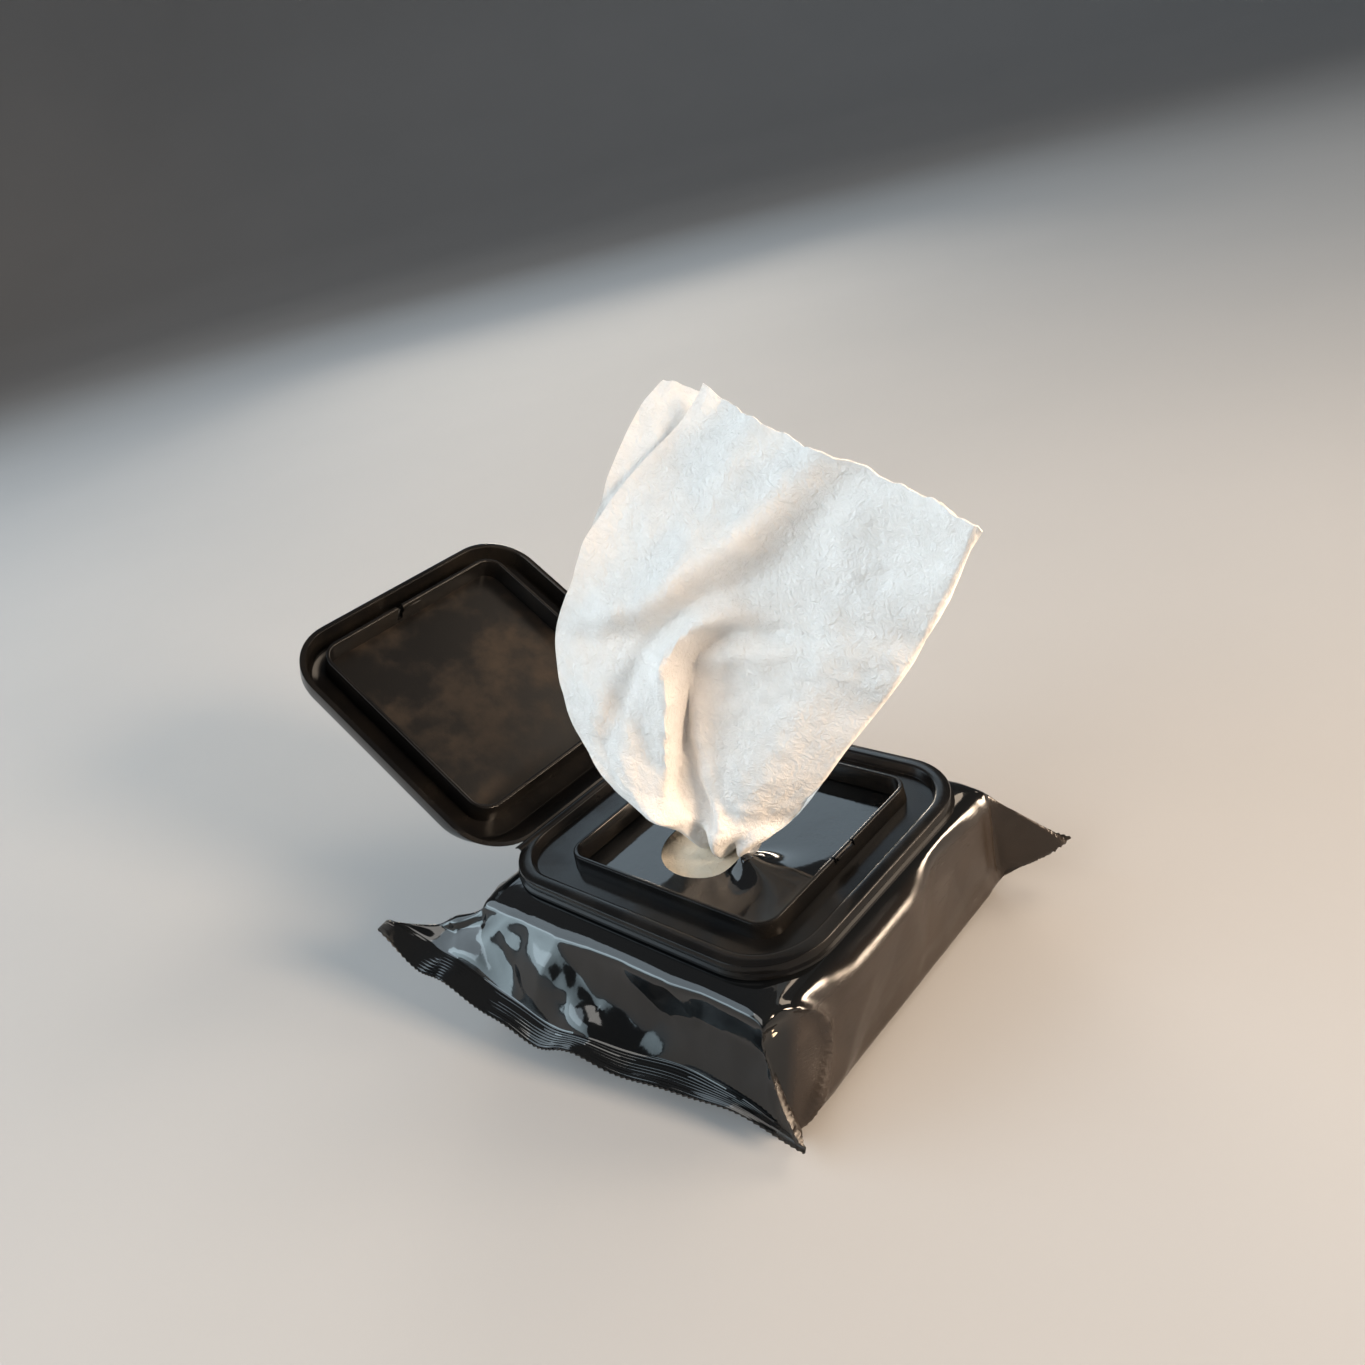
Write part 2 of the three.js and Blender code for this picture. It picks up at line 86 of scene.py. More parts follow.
# %% [markdown]
# ## Modelling helpers
# The rigid pieces are modelled as by hand: a primitive is added, then faces are inset and
# extruded. Small helpers keep that readable. They select pieces, or parts of a piece by where
# they are, stretch a new primitive, and turn all normals outwards at the end.

# %% Helpers for modelling
def select(*pieces):
    """Leaves edit mode and selects only these pieces, with the first one active."""
    if bpy.context.object and bpy.context.object.mode != "OBJECT":
        bpy.ops.object.mode_set(mode="OBJECT")
    bpy.ops.object.select_all(action="DESELECT")
    for piece in pieces:
        piece.select_set(True)
        bpy.context.view_layer.objects.active = pieces[0]


def edit(piece, kind="FACE"):
    """Opens one piece in edit mode with nothing selected."""
    select(piece)
    bpy.ops.object.mode_set(mode="EDIT")
    bpy.ops.mesh.select_mode(type=kind)
    bpy.ops.mesh.select_all(action="DESELECT")


def pick(kind, test):
    """Selects the faces or edges that pass a test, and says how many they are."""
    mesh = bpy.context.edit_object.data
    shape = bmesh.from_edit_mesh(mesh)
    bpy.ops.mesh.select_mode(type=kind)
    bpy.ops.mesh.select_all(action="DESELECT")
    found = [part for part in (shape.faces if kind == "FACE" else shape.edges) if test(part)]
    for part in found:
        part.select_set(True)
    bmesh.update_edit_mesh(mesh)
    return len(found)


def pick_flat_faces(height, way):
    """Selects the faces at a height in millimetres that look up (way 1) or down (way -1)."""
    return pick("FACE", lambda f: (
        f.normal.z * way > 0.9 and abs(f.calc_center_median().z / MM - height) < 0.01
    ))


def pick_open_edges(height):
    """Selects the open edges that lie at a height in millimetres."""
    return pick("EDGE", lambda e: (
        e.is_boundary and all(abs(v.co.z / MM - height) < 0.02 for v in e.verts)
    ))


def stretch(name, kind, size, middle):
    """Names the new primitive and gives it a size and a middle in millimetres."""
    piece = bpy.context.object
    piece.name = name
    edit(piece, kind)
    bpy.ops.mesh.select_all(action="SELECT")
    bpy.ops.transform.resize(value=[a * MM for a in size])
    bpy.ops.transform.translate(value=[a * MM for a in middle])
    return piece


def turn_outwards():
    """Turns all normals outwards and leaves edit mode."""
    bpy.ops.mesh.select_all(action="SELECT")
    bpy.ops.mesh.normals_make_consistent(inside=False)
    select()


def join(first, *others):
    """Joins pieces into the first one."""
    select(first, *others)
    bpy.ops.object.join()
    return first


def apply_modifier(piece, kind, **settings):
    """Adds one modifier, sets it and applies it."""
    select(piece)
    modifier = piece.modifiers.new(kind.lower(), kind)
    for name, value in settings.items():
        setattr(modifier, name, value)
    bpy.ops.object.modifier_apply(modifier=modifier.name)


def smooth_by_angle(piece, degrees):
    """Smooth shading, kept sharp where faces meet at more than the angle."""
    select(piece)
    bpy.ops.object.shade_smooth_by_angle(angle=math.radians(degrees))


def triangles(piece):
    return sum(len(p.vertices) - 2 for p in piece.data.polygons)


def mm(value):
    """A length in millimetres, rounded to be printed."""
    return round(float(value), 1)


print("helpers ready")

# %% [markdown]
# ## Floor and light
# A product like this is shot on a pale sweep. The sweep here is a shallow round bowl, so that
# it looks alike from every side: a filled circle whose rim is extruded outwards and up.

# %% Floor
FLOOR_RADIUS = 1.9
SWEEP = [(2.3, 0.05), (2.6, 0.2), (2.8, 0.45), (2.9, 0.8), (2.95, 2.2)]    # radius and height
select()
bpy.ops.mesh.primitive_circle_add(
    vertices=96, radius=FLOOR_RADIUS, fill_type="NGON", location=(0, 0, 0)
)
floor = bpy.context.object
floor.name = "floor"
edit(floor, "EDGE")
radius, height = FLOOR_RADIUS, 0.0
pick_open_edges(0)
for next_radius, next_height in SWEEP:
    bpy.ops.mesh.extrude_edges_move()
    share = next_radius / radius
    bpy.ops.transform.resize(value=(share, share, 1))
    bpy.ops.transform.translate(value=(0, 0, next_height - height))
    radius, height = next_radius, next_height
select()
smooth_by_angle(floor, 60)
print("floor:", [round(x, 2) for x in floor.dimensions])

# %% [markdown]
# Glossy black film is seen mostly by what it reflects, so the lamps are placed by mirror
# angles. Cool panels stand beyond the pack and on its left: they light the cloth and the top,
# and a low one puts blue-green lights on the facets of the near end. Warm panels on the right
# give the long side its brown sheen and its edges their bright lines. Narrow ones have a small
# spread, so that they act on the film and hardly on the rest.

# %% Lamps and world
def panel(name, place, aim, size, power, colour, spread=180):
    """A rectangular soft light aimed at a point."""
    data = bpy.data.lights.new(name, "AREA")
    data.shape = "RECTANGLE"
    data.size, data.size_y = size
    data.energy = power
    data.color = colour
    data.spread = math.radians(spread)
    lamp = bpy.data.objects.new(name, data)
    bpy.context.scene.collection.objects.link(lamp)
    turn = (Vector(aim) - Vector(place)).to_track_quat("-Z", "Y")
    lamp.matrix_world = Matrix.LocRotScale(Vector(place), turn, None)
    lamp.visible_camera = False


MIDDLE = (0.0, 0.0, 0.04)
for name, place, *settings in [
    ("panel_far", (0.75, 0.82, 0.62), (0.9, 0.45), 2.6, (0.70, 0.87, 1.0)),
    ("panel_left", (-0.66, 0.80, 0.60), (1.15, 0.9), 10.0, (0.74, 0.89, 1.0)),
    ("panel_warm", (0.10, -1.05, 0.42), (0.30, 0.30), 2.3, (1.0, 0.76, 0.55), 60),
    ("panel_side", (0.62, -0.95, 0.17), (0.45, 0.22), 1.7, (1.0, 0.78, 0.58), 60),
    ("panel_warm_top", (0.80, -0.34, 0.95), (0.50, 0.40), 4.5, (1.0, 0.82, 0.64)),
    ("panel_edge", (0.84, 0.92, 0.20), (0.6, 0.12), 1.0, (1.0, 0.86, 0.70), 60),
    ("panel_low", (-0.80, 0.70, 0.17), (1.0, 0.3), 0.75, (0.7, 0.9, 1.0), 70),
    ("panel_front", (-1.0, 0.05, 0.75), (0.6, 0.6), 4.6, (1.0, 0.97, 0.92)),
]:
    panel(name, place, MIDDLE, *settings)
world = bpy.data.worlds.new("world")
world.use_nodes = True
world.node_tree.nodes["Background"].inputs["Color"].default_value = (0.93, 0.96, 1.0, 1)
world.node_tree.nodes["Background"].inputs["Strength"].default_value = 0.17
bpy.context.scene.world = world
bpy.context.scene.view_settings.view_transform = "Standard"

# %% [markdown]
# ## Materials written as sums
# A material is a graph of nodes, but most of it is plain arithmetic. A small class wraps a
# socket so that Python's plus and times add the Math nodes.

# %% A socket with operators
class Value:
    """An output socket of a material, with arithmetic."""

    def __init__(self, finish, socket):
        self.finish, self.socket = finish, socket

    def maths(self, operation, *values):
        numbers = dict(enumerate(values))
        return self.finish.node("ShaderNodeMath", {"operation": operation}, numbers)

    def __add__(self, other):
        return self.maths("ADD", self, other)

    def __mul__(self, other):
        return self.maths("MULTIPLY", self, other)

    __radd__ = __add__
    __rmul__ = __mul__


print("operators:", [name for name in vars(Value) if name.startswith("__r")])

# %% [markdown]
# The other nodes come from one method, which takes a node's type, its settings and what goes
# into its sockets. Shorter ones are built on it for the nodes that are used most: noise, a
# stretched range, a mix of two colours and a bump.

# %% A material under construction
class Finish:
    """A material under construction round one Principled BSDF."""

    def __init__(self, name, **constants):
        self.material = bpy.data.materials.new(name)
        self.material.use_nodes = True
        self.tree = self.material.node_tree
        self.shader = self.tree.nodes["Principled BSDF"]
        for key, value in constants.items():
            self.shader.inputs[key.replace("_", " ")].default_value = value

    def put(self, socket, value):
        if isinstance(value, Value):
            self.tree.links.new(value.socket, socket)
        else:
            if socket.type == "RGBA" and len(value) == 3:
                value = (*value, 1)
            socket.default_value = value

    def node(self, kind, settings=None, values=None, out=0):
        made = self.tree.nodes.new(kind)
        for key, value in (settings or {}).items():
            setattr(made, key, value)
        for key, value in (values or {}).items():
            self.put(made.inputs[key], value)
        return Value(self, made.outputs[out])

    def place(self, scale=(1, 1, 1), turn=(0, 0, 0)):
        point = self.node("ShaderNodeTexCoord", out="Object")
        values = {"Vector": point, "Scale": scale, "Rotation": turn}
        return self.node("ShaderNodeMapping", values=values)

    def noise(self, where, size_mm, detail=3.0, roughness=0.5, distortion=0.0):
        """Noise with features of about a size in millimetres, from 0 to 1."""
        values = {
            "Vector": where, "Scale": 1 / (size_mm * MM), "Detail": detail,
            "Roughness": roughness, "Distortion": distortion,
        }
        return self.node("ShaderNodeTexNoise", values=values)

    def spread(self, value, low, high):
        """Stretches a value so that it goes smoothly from 0 at `low` to 1 at `high`."""
        settings = {"interpolation_type": "SMOOTHSTEP"}
        return self.node("ShaderNodeMapRange", settings, {0: value, 1: low, 2: high})

    def mix(self, share, first, second):
        settings = {"data_type": "RGBA"}
        return self.node("ShaderNodeMix", settings, {0: share, 6: first, 7: second}, out=2)

    def axis(self, where, name):
        return self.node("ShaderNodeSeparateXYZ", values={0: where}, out=name)

    def bump(self, height, depth_mm, strength, under=None):
        values = {"Height": height, "Distance": depth_mm * MM, "Strength": strength}
        if under is not None:
            values["Normal"] = under
        return self.node("ShaderNodeBump", values=values)

    def done(self, **inputs):
        for key, value in inputs.items():
            self.put(self.shader.inputs[key.replace("_", " ")], value)
        return self.material


print("a finish can:", [name for name in vars(Finish) if not name.startswith("_")])

# %% [markdown]
# The floor is the first to get a finish: a pale matt grey with a wide, faint mottle.

# %% Finish of the floor
def wear(piece, material):
    """Gives a piece one material."""
    piece.data.materials.clear()
    piece.data.materials.append(material)


finish = Finish("floor_pale", Specular_IOR_Level=0.1)
floor_mottle = finish.noise(finish.place(), 180, 4)
floor_colour = finish.mix(floor_mottle, (0.42, 0.425, 0.43), (0.46, 0.46, 0.465))
wear(floor, finish.done(Base_Color=floor_colour, Roughness=0.85))
print("materials so far:", [m.name for m in bpy.data.materials])

# %% [markdown]
# ## The film pouch
# The pouch is one tube of film, pressed flat at both ends. Cloth simulation could inflate it,
# but its corners, seals and creases have to stay where the solid has them. So the tube is laid
# out as a fine net of points, each with a place across (s) and a place along (t) as in the
# solid, and the net is then pushed in and out by random facets, the way thin foil creases.

# %% Sizes of the pouch
HALF_LENGTH, HALF_WIDTH, HEIGHT = 38.4, 40.7, 29.2
TOP_RADIUS, UNDER_RADIUS = 6.5, 3.5     # of the four long edges
HOLE = (-3.7, 1.2)
HOLE_RADIUS = 11.0
SEAL_FILM = 0.42                        # thickness of the two walls pressed together
SEAL_MIDDLE = {-1: 7.5, 1: 0.0}         # the near seal (-1) is pushed askew
SEAL_HALF = {-1: 53.0, 1: 53.5}
ACROSS = 172                            # points over the upper half of the tube
BODY_T = 10                             # t runs from 0 to this over the body
T_PARTS = [                             # from t, to t, and how many rows
    (-2, -1, 26), (-1, 0, 44), (0, BODY_T, 88), (BODY_T, BODY_T + 1, 36),
]
FAR_SEAL_ROWS = 19


def ease(t):
    t = np.clip(t, 0, 1)
    return t * t * (3 - 2 * t)


def bell(x, width):
    return np.exp(-(x / width) ** 2)


def half_section(s, width, height, radius):
    """Points of the upper half of the tube, from its +Y side (s = 1) to its -Y side (s = -1)."""
    side, arc, top = height - radius, radius * math.pi / 2, 2 * (width - radius)
    run = (1 - np.abs(s)) / 2 * (2 * side + 2 * arc + top)
    angle = np.clip((run - side) / radius, 0, math.pi / 2)
    y = width - radius + radius * np.cos(angle) - np.clip(run - side - arc, 0, top)
    z = np.clip(run, 0, side) + radius * np.sin(angle)
    return y * np.where(s < 0, -1, 1), z


def seal_line(side, s):
    """The seal of the solid: how far across, how high, and where it starts and ends."""
    y = SEAL_MIDDLE[side] + SEAL_HALF[side] * s
    if side > 0:
        z = 0.43 * HEIGHT + 0.8 * np.sin(y / 11) - 1.6 * ease((np.abs(y) - 26) / 28)
        return y, z, 43.2 + 0 * y, 48.8 + 0 * y
    lift = 12.5 * (np.clip(y - 5, 0, None) / 54) ** 1.7
    z = 0.32 * HEIGHT + lift - 4.5 * ease((-14 - y) / 34) + 0.5 * np.sin(y / 8)
    end = 42.8 + 9.4 * ease((y + 46) / 66) + 1.6 * ease((y - 15) / 30)
    return y, z, 41.2 + 6.2 * ease((y + 22) / 34), end


print("pouch, mm:", 2 * HALF_LENGTH, "by", 2 * HALF_WIDTH, "by", HEIGHT)

# %% [markdown]
# Creased film is made of flat facets between sharp lines. A net of triangles with a random
# height at each corner has just that form, and bending the net first hides its regularity.

# %% Random facets and soft dents
GIRTH_MM = 216                          # round the tube, so that the facets close


def random_at(i, j, seed):
    """A fixed random number from 0 to 1 for each pair of whole numbers."""
    h = i.astype(np.int64) * 374761393 + j.astype(np.int64) * 668265263 + seed * 974711
    h = h & 0xFFFFFFFF
    h = ((h ^ (h >> 13)) * 1274126177) & 0xFFFFFFFF
    return ((h ^ (h >> 16)) & 0xFFFF) / 65535.0


def facets(x, y, closes, seed, soft=False):
    """Random heights over a net with one cell per unit, which closes after so many cells."""
    i, j = np.floor(x), np.floor(y)
    f, g = x - i, y - j
    corner = [random_at((i + a) % closes, j + b, seed) for b in (0, 1) for a in (0, 1)]
    if soft:
        f, g = ease(f), ease(g)
        low = corner[0] + f * (corner[1] - corner[0])
        high = corner[2] + f * (corner[3] - corner[2])
        return low + g * (high - low)
    first = corner[0] + f * (corner[1] - corner[0]) + g * (corner[2] - corner[0])
    second = corner[3] + (1 - f) * (corner[2] - corner[3]) + (1 - g) * (corner[1] - corner[3])
    return np.where(f + g < 1, first, second)


def creases(around_mm, along_mm, size, seed):
    """Facets of about one size in millimetres, on a net that is bent out of line first."""
    x, y = around_mm / size, along_mm / size
    cells = round(GIRTH_MM / size)
    bend = facets(x * 0.5, y * 0.5, cells // 2, seed + 7, soft=True)
    sway = facets(x * 0.5, y * 0.5, cells // 2, seed + 19, soft=True)
    return facets(x + 0.9 * bend, y + 0.9 * sway, cells, seed) - 0.5


print("a fixed random number:", random_at(np.array([1]), np.array([2]), 3)[0])

# %% [markdown]
# The net has rows across the pack and columns along it. The rows run from the near seal's edge
# over the near end panel, the body and the far end panel to the far seal's edge.

# %% Rows and columns of the net
t_rows = [first + np.arange(rows) / rows * (last - first) for first, last, rows in T_PARTS]
t_rows.append(BODY_T + 1 + np.arange(FAR_SEAL_ROWS) / (FAR_SEAL_ROWS - 1))
t_rows = np.concatenate(t_rows)
row_count = len(t_rows)
is_near = t_rows < BODY_T / 2
s_half = np.linspace(1, -1, ACROSS + 1)
s_loop = np.concatenate([s_half, s_half[::-1][1:-1]])
around = len(s_loop)
is_upper = np.arange(around) <= ACROSS
up = np.where(is_upper, 1.0, -1.0)
print("net of the tube:", row_count, "rows of", around, "points")

# %% [markdown]
# At its two ends the tube goes from a box-like section to two walls pressed together. The
# section stays a rounded rectangle all the way, so that the long edges run out to the seal's
# tips as straight bright lines, and it follows the seal's own height and slant.

# %% Sections of the tube
def section(width, height, top_radius, under_radius):
    """The closed section: y, and the distance above or below its middle height."""
    top = half_section(s_loop, width, height, top_radius)
    under = half_section(s_loop, width, height, under_radius)
    return [np.where(is_upper, a, b) for a, b in zip(top, under)]


def end_row(side, out):
    """A row of one end, where `out` is 0 at the body, 1 at the seal and 2 at the seal's edge."""
    k = min(1.0, out)
    wide = HALF_WIDTH + (SEAL_HALF[side] - HALF_WIDTH) * k
    high = HEIGHT / 2 * (1 - k) + SEAL_FILM / 2 * k
    bends = [min(r * (1 - k) + 0.1, 0.95 * high) for r in (TOP_RADIUS, UNDER_RADIUS)]
    y_now, z_now = section(wide, high, *bends)
    share = y_now / wide
    seal_y, seal_z, start, end = seal_line(side, share)
    start = start + 0.55 * (end - start) * np.abs(share) ** 8
    if out <= 1:
        tuck = 1.4 * math.sin(math.pi * k) * (1 - np.abs(s_loop) ** 4)
        x = side * (HALF_LENGTH + (start - HALF_LENGTH) * k - tuck * (0.6 if side < 0 else 0.4))
    else:
        x = side * (start + (end - start) * (out - 1))
    y = y_now + SEAL_MIDDLE[side] * k
    z = HEIGHT / 2 * (1 - k) + seal_z * k + up * z_now
    if side < 0:                        # the near left corner sinks into an ear
        dip = 4.5 * math.sin(math.pi * k) * ease((share - 0.62) / 0.3)
        z = z - dip * np.where(is_upper, 1, 0.2)
    wave = 0.9 * np.sin(seal_y / 5.3 + 1.1) + 0.5 * np.sin(seal_y / 2.9)
    waving = 0.3 * max(0, out - 1) + 0.25 * ease((out - 0.55) / 0.45)
    z = z + wave * waving * (1 + 2.2 * ease((seal_y + 20) / 40) * (side < 0))
    if out > 1:                         # nine crimped lines, and teeth on the last row
        z = z - 0.9 * (out - 1) + 0.07 * math.cos((out - 1) * 9 * 2 * math.pi)
    if out > 1.97:
        x = x + side * 0.32 * ((np.arange(around) % 2) - 0.5)
    return np.stack([x, y, z], 1)


y_body, z_body = section(HALF_WIDTH, HEIGHT / 2, TOP_RADIUS, UNDER_RADIUS)
print("body section, mm:", mm(np.ptp(y_body)), "by", mm(2 * z_body.max()))

# %% [markdown]
# Each row is now put in its place. Two shares are kept beside the net: how much a point
# belongs to an end panel, where the film is creased most, and how much to a seal.

# %% Fill the net
grid = np.zeros((row_count, around, 3))
panel_share = np.zeros((row_count, around))
seal_share = np.zeros((row_count, around))
X, Y, Z = np.moveaxis(grid, 2, 0)       # views: to change one of them changes the net
for row, t in enumerate(t_rows):
    side = -1 if is_near[row] else 1
    out = -t if side < 0 else t - BODY_T
    if out <= 0:
        x = np.full(around, -HALF_LENGTH + 2 * HALF_LENGTH * t / BODY_T)
        grid[row] = np.stack([x, y_body, HEIGHT / 2 + up * z_body], 1)
        continue
    grid[row] = end_row(side, out)
    if out <= 1:
        near_corner = ease((np.abs(s_loop) - 0.70) / 0.2)
        panel_share[row] = math.sin(math.pi * out) * (1 - out * near_corner)
    seal_share[row] = ease((out - 0.9) / 0.2)
print("length over the seals, mm:", mm(np.ptp(X)))

# %% [markdown]
# The shoulder between the top and an end panel is a soft roll and not a fold, so the rows near
# it are averaged with their neighbours many times. Below it, the seal pulls each side wall
# inwards behind a curved crease, which leaves a dark ear between two bright lines. The near
# ear is wide and the far one narrow. Between the ears the side wall bulges a little.

# %% Round the shoulders and pull in the ears
EARS = {-1: (12.0, 0.30, 0.9), 1: (1.5, 0.12, 0.45)}     # width, slope inwards and bead
BULGE = 1.5
ROLL_ROUNDS = 60
body_rows = np.flatnonzero((t_rows >= 0) & (t_rows < BODY_T))
near_shoulder, far_shoulder = np.arange(row_count) - [[body_rows[0] + 4], [body_rows[-1]]]
shoulder = np.where(is_near, bell(near_shoulder, 9.0), bell(far_shoulder, 7.0))
roll = shoulder[:, None] * is_upper * ease((0.80 - np.abs(s_loop)) / 0.10)[None, :]
for turn in range(ROLL_ROUNDS):
    average = (np.roll(grid, 1, 0) + np.roll(grid, -1, 0)) / 2
    grid += roll[:, :, None] * 0.5 * (average - grid)


def wall_share():
    """How much each point belongs to a side wall."""
    return np.clip((np.abs(Y) - 36.5) / 4, 0, 1)


for side, (wide, slope, bead) in EARS.items():
    tall = np.clip(Z / HEIGHT, 0, 1)
    crease_x = HALF_LENGTH - wide * np.sin(math.pi * tall ** 1.5) ** 0.7
    past = side * X - crease_x
    pull = slope * np.clip(past, 0, wide)
    pull -= bead * bell(past, 1.0) * ease(tall / 0.15) * ease((1 - tall) / 0.08)
    fade = np.clip((43 - side * X) / 4, 0, 1)
    Y -= np.sign(Y) * pull * (wall_share() * (1 - seal_share)) * fade
tall = np.clip(Z / HEIGHT, 0, 1)
wall = wall_share() * np.clip((41 - np.abs(X)) / 8, 0, 1)
Y += np.sign(Y) * BULGE * np.sin(math.pi * tall ** 0.65) * wall
print("width over the side walls, mm:", mm(np.ptp(Y[row_count // 2])))

# %% [markdown]
# The creases are strongest on the end panels, where the film was gathered into the seals, and
# faint on the top and the flat underside, where it is drawn tight over the stack.

# %% Push the creases into the net
along = np.gradient(grid, axis=0)
round_way = np.roll(grid, -1, 1) - np.roll(grid, 1, 1)
normal = np.cross(round_way, along)
normal /= np.linalg.norm(normal, axis=2, keepdims=True) + 1e-9
normal *= np.sign((normal * (grid - grid.mean(1, keepdims=True))).sum())
steps = np.linalg.norm(np.diff(grid[:, 40], axis=0), axis=1)
length_mm = np.concatenate([[0], np.cumsum(steps)])
A, B = np.meshgrid(np.arange(around) / around * GIRTH_MM, length_mm)
large = creases(A, B, 21.6, 3)
small = creases(A, B, 9.0, 11)
fine = creases(A, B, 3.6, 23)
soft = facets(A / 24, B / 16, 9, 31, soft=True) - 0.5
side_wall = ease((0.24 - np.abs(np.abs(s_loop) - 1)) / 0.10)[None, :]
left_end = ease((Y + 12) / 24) * (X < 0)
push = panel_share * (4.8 * large + (1.6 + 2.2 * left_end) * small + 0.2 * fine)
body_share = 1 - np.clip(panel_share + seal_share, 0, 1)
push += body_share * (0.08 * small + side_wall * (3.2 * soft + 1.2 * small))
push += seal_share * (0.10 * small)
grid += normal * push[:, :, None]
Z[:] = np.clip(Z, 0, None)
print("deepest crease, mm:", mm(np.abs(push).max()))

# %% [markdown]
# The pulled wipe drags the film up at the right of the hole. That little tent has a peak at
# the hole's edge and a ridge that runs out across the film.

# %% Raise the tent beside the hole
TENT_HEIGHT, TENT_LEAN, TENT_REACH = 4.3, 0.55, 15.0
TENT_FOOT = np.array([-6.9, -9.4])
TENT_WAY = np.array([-0.19, -0.98])
inner = body_share * is_upper[None, :] * (np.abs(s_loop)[None, :] < 0.70)
reach = grid[:, :, :2] - TENT_FOOT
ahead = (reach * TENT_WAY).sum(2)
beside = reach[:, :, 0] * TENT_WAY[1] - reach[:, :, 1] * TENT_WAY[0]
fall = np.clip(1 - np.clip(ahead, 0, None) / TENT_REACH, 0, 1) ** 1.3
tent = TENT_HEIGHT * fall * bell(beside, 3.3 + 0.42 * np.clip(ahead, 0, None))
tent *= np.clip(1 + ahead / 6, 0, 1) * inner
lean = (tent * TENT_LEAN)[:, :, None] * TENT_WAY
Z += tent
grid[:, :, :2] += lean
print("height of the tent, mm:", mm(tent.max()))

# %% [markdown]
# A net becomes a mesh by joining each point to its neighbours in the next row and column. A
# grid primitive could be moved point by point instead, but it couldn't close on itself.

# %% From a net to a mesh
def mesh_piece(name, points, faces):
    """A new mesh object from points in millimetres and a list of faces."""
    made = bpy.data.meshes.new(name)
    made.from_pydata((np.asarray(points) * MM).tolist(), [], faces)
    made.validate()
    piece = bpy.data.objects.new(name, made)
    bpy.context.scene.collection.objects.link(piece)
    return piece


def net_faces(rows, columns, closed=False):
    """The faces between the points of a net, closed round its columns where asked."""
    faces = []
    for r in range(rows - 1):
        for c in range(columns if closed else columns - 1):
            here, above = r * columns, (r + 1) * columns
            d = (c + 1) % columns
            faces.append((here + c, here + d, above + d, above + c))
    return faces


print("faces of a net of 3 by 4 points:", len(net_faces(3, 4)))

# %% [markdown]
# Faces over the hole are left out. Each seal's edge, where the two walls meet, is closed with
# a strip of faces. The hole's edge follows the net's squares at first, so its points are then
# moved outwards or inwards on to a true circle.

# %% Open the hole and close the seals
points = grid.reshape(-1, 3)
from_hole = (grid[:, :, :2] - lean - np.array(HOLE)).reshape(-1, 2)
hole_distance = np.hypot(from_hole[:, 0], from_hole[:, 1])
on_top = inner.reshape(-1) > 0.5
faces = [
    quad for quad in net_faces(row_count, around, closed=True)
    if not (on_top[quad[0]] and np.mean(hole_distance[list(quad)]) < HOLE_RADIUS)
]
for r, turned in ((0, False), (row_count - 1, True)):
    for c in range(ACROSS):
        a, b = r * around + c, r * around + c + 1
        e, f = r * around + (around - c - 1) % around, r * around + (around - c) % around
        ring = tuple(dict.fromkeys([a, b, e, f] if turned else [a, f, e, b]))
        if len(ring) > 2:
            faces.append(ring)
edge_uses = Counter(
    tuple(sorted(pair)) for face in faces for pair in zip(face, face[1:] + face[:1])
)
rim_points = sorted({
    v for pair, uses in edge_uses.items() if uses == 1
    for v in pair if on_top[v] and hole_distance[v] < HOLE_RADIUS + 3
})
for v in rim_points:
    points[v, :2] += from_hole[v] / hole_distance[v] * (HOLE_RADIUS - hole_distance[v])
film = mesh_piece("film_wrap", points, faces)
print("faces:", len(faces), "points on the hole's edge:", len(rim_points))

# %% [markdown]
# Film has a thickness, and it shows only at the hole. The hole's edge is extruded down and
# then outwards, which gives it a small turned lip without doubling the whole mesh.

# %% Turn down the hole's edge
LIP_DROP, LIP_SPREAD = 0.25, 1.12
edit(film, "EDGE")
pick("EDGE", lambda e: e.is_boundary and all(
    (v.co.to_2d() / MM - Vector(HOLE)).length < HOLE_RADIUS + 4 for v in e.verts
))
bpy.ops.mesh.extrude_edges_move()
bpy.ops.transform.translate(value=(0, 0, -LIP_DROP * MM))
bpy.ops.mesh.extrude_edges_move()
bpy.ops.transform.resize(
    value=(LIP_SPREAD, LIP_SPREAD, 1), center_override=(HOLE[0] * MM, HOLE[1] * MM, 0)
)
turn_outwards()
smooth_by_angle(film, 50)
print("film:", triangles(film), "triangles")

# %% [markdown]
# ## The film's finish
# The film is black and glossy, with soft smears where it was touched. Its right long side was
# handled most: there it is rubbed to a rougher satin, with fine lines along the pack, and its
# lower part is painted browner as a painted warm sheen.

# %% Black film
finish = Finish("black_film", IOR=1.5)
where = finish.place()
sideways = finish.axis(where, "Y")
height_up = finish.axis(where, "Z")
on_right_side = finish.spread(sideways, -0.0385, -0.0402)
rubbed_and_sheen = on_right_side * finish.spread(height_up, 0.0275, 0.0215)
haze = finish.noise(where, 14, 5, 0.6)
streaks = finish.noise(finish.place((0.06, 1, 1.4)), 0.35, 4, 0.7)
smear = finish.spread(haze, 0.42, 0.72)
film_rough = 0.06 + smear * 0.05 + rubbed_and_sheen * (0.12 + streaks * 0.26)
# The browner second colour, mixed in over the lower part of the right long side, is a painted
# warm sheen and not the film's own colour.
film_black, film_sheen_brown = (0.0035, 0.004, 0.0045), (0.020, 0.014, 0.010)
film_colour = finish.mix(rubbed_and_sheen * (0.35 + haze), film_black, film_sheen_brown)
ripple = finish.noise(where, 5.5, 3, 0.55)
film_bump = finish.bump(ripple, 0.10, 0.35)
film_bump = finish.bump(streaks * rubbed_and_sheen, 0.08, 0.8, film_bump)
black_film = finish.done(Base_Color=film_colour, Roughness=film_rough, Normal=film_bump)
wear(film, black_film)
print("film finish ready")

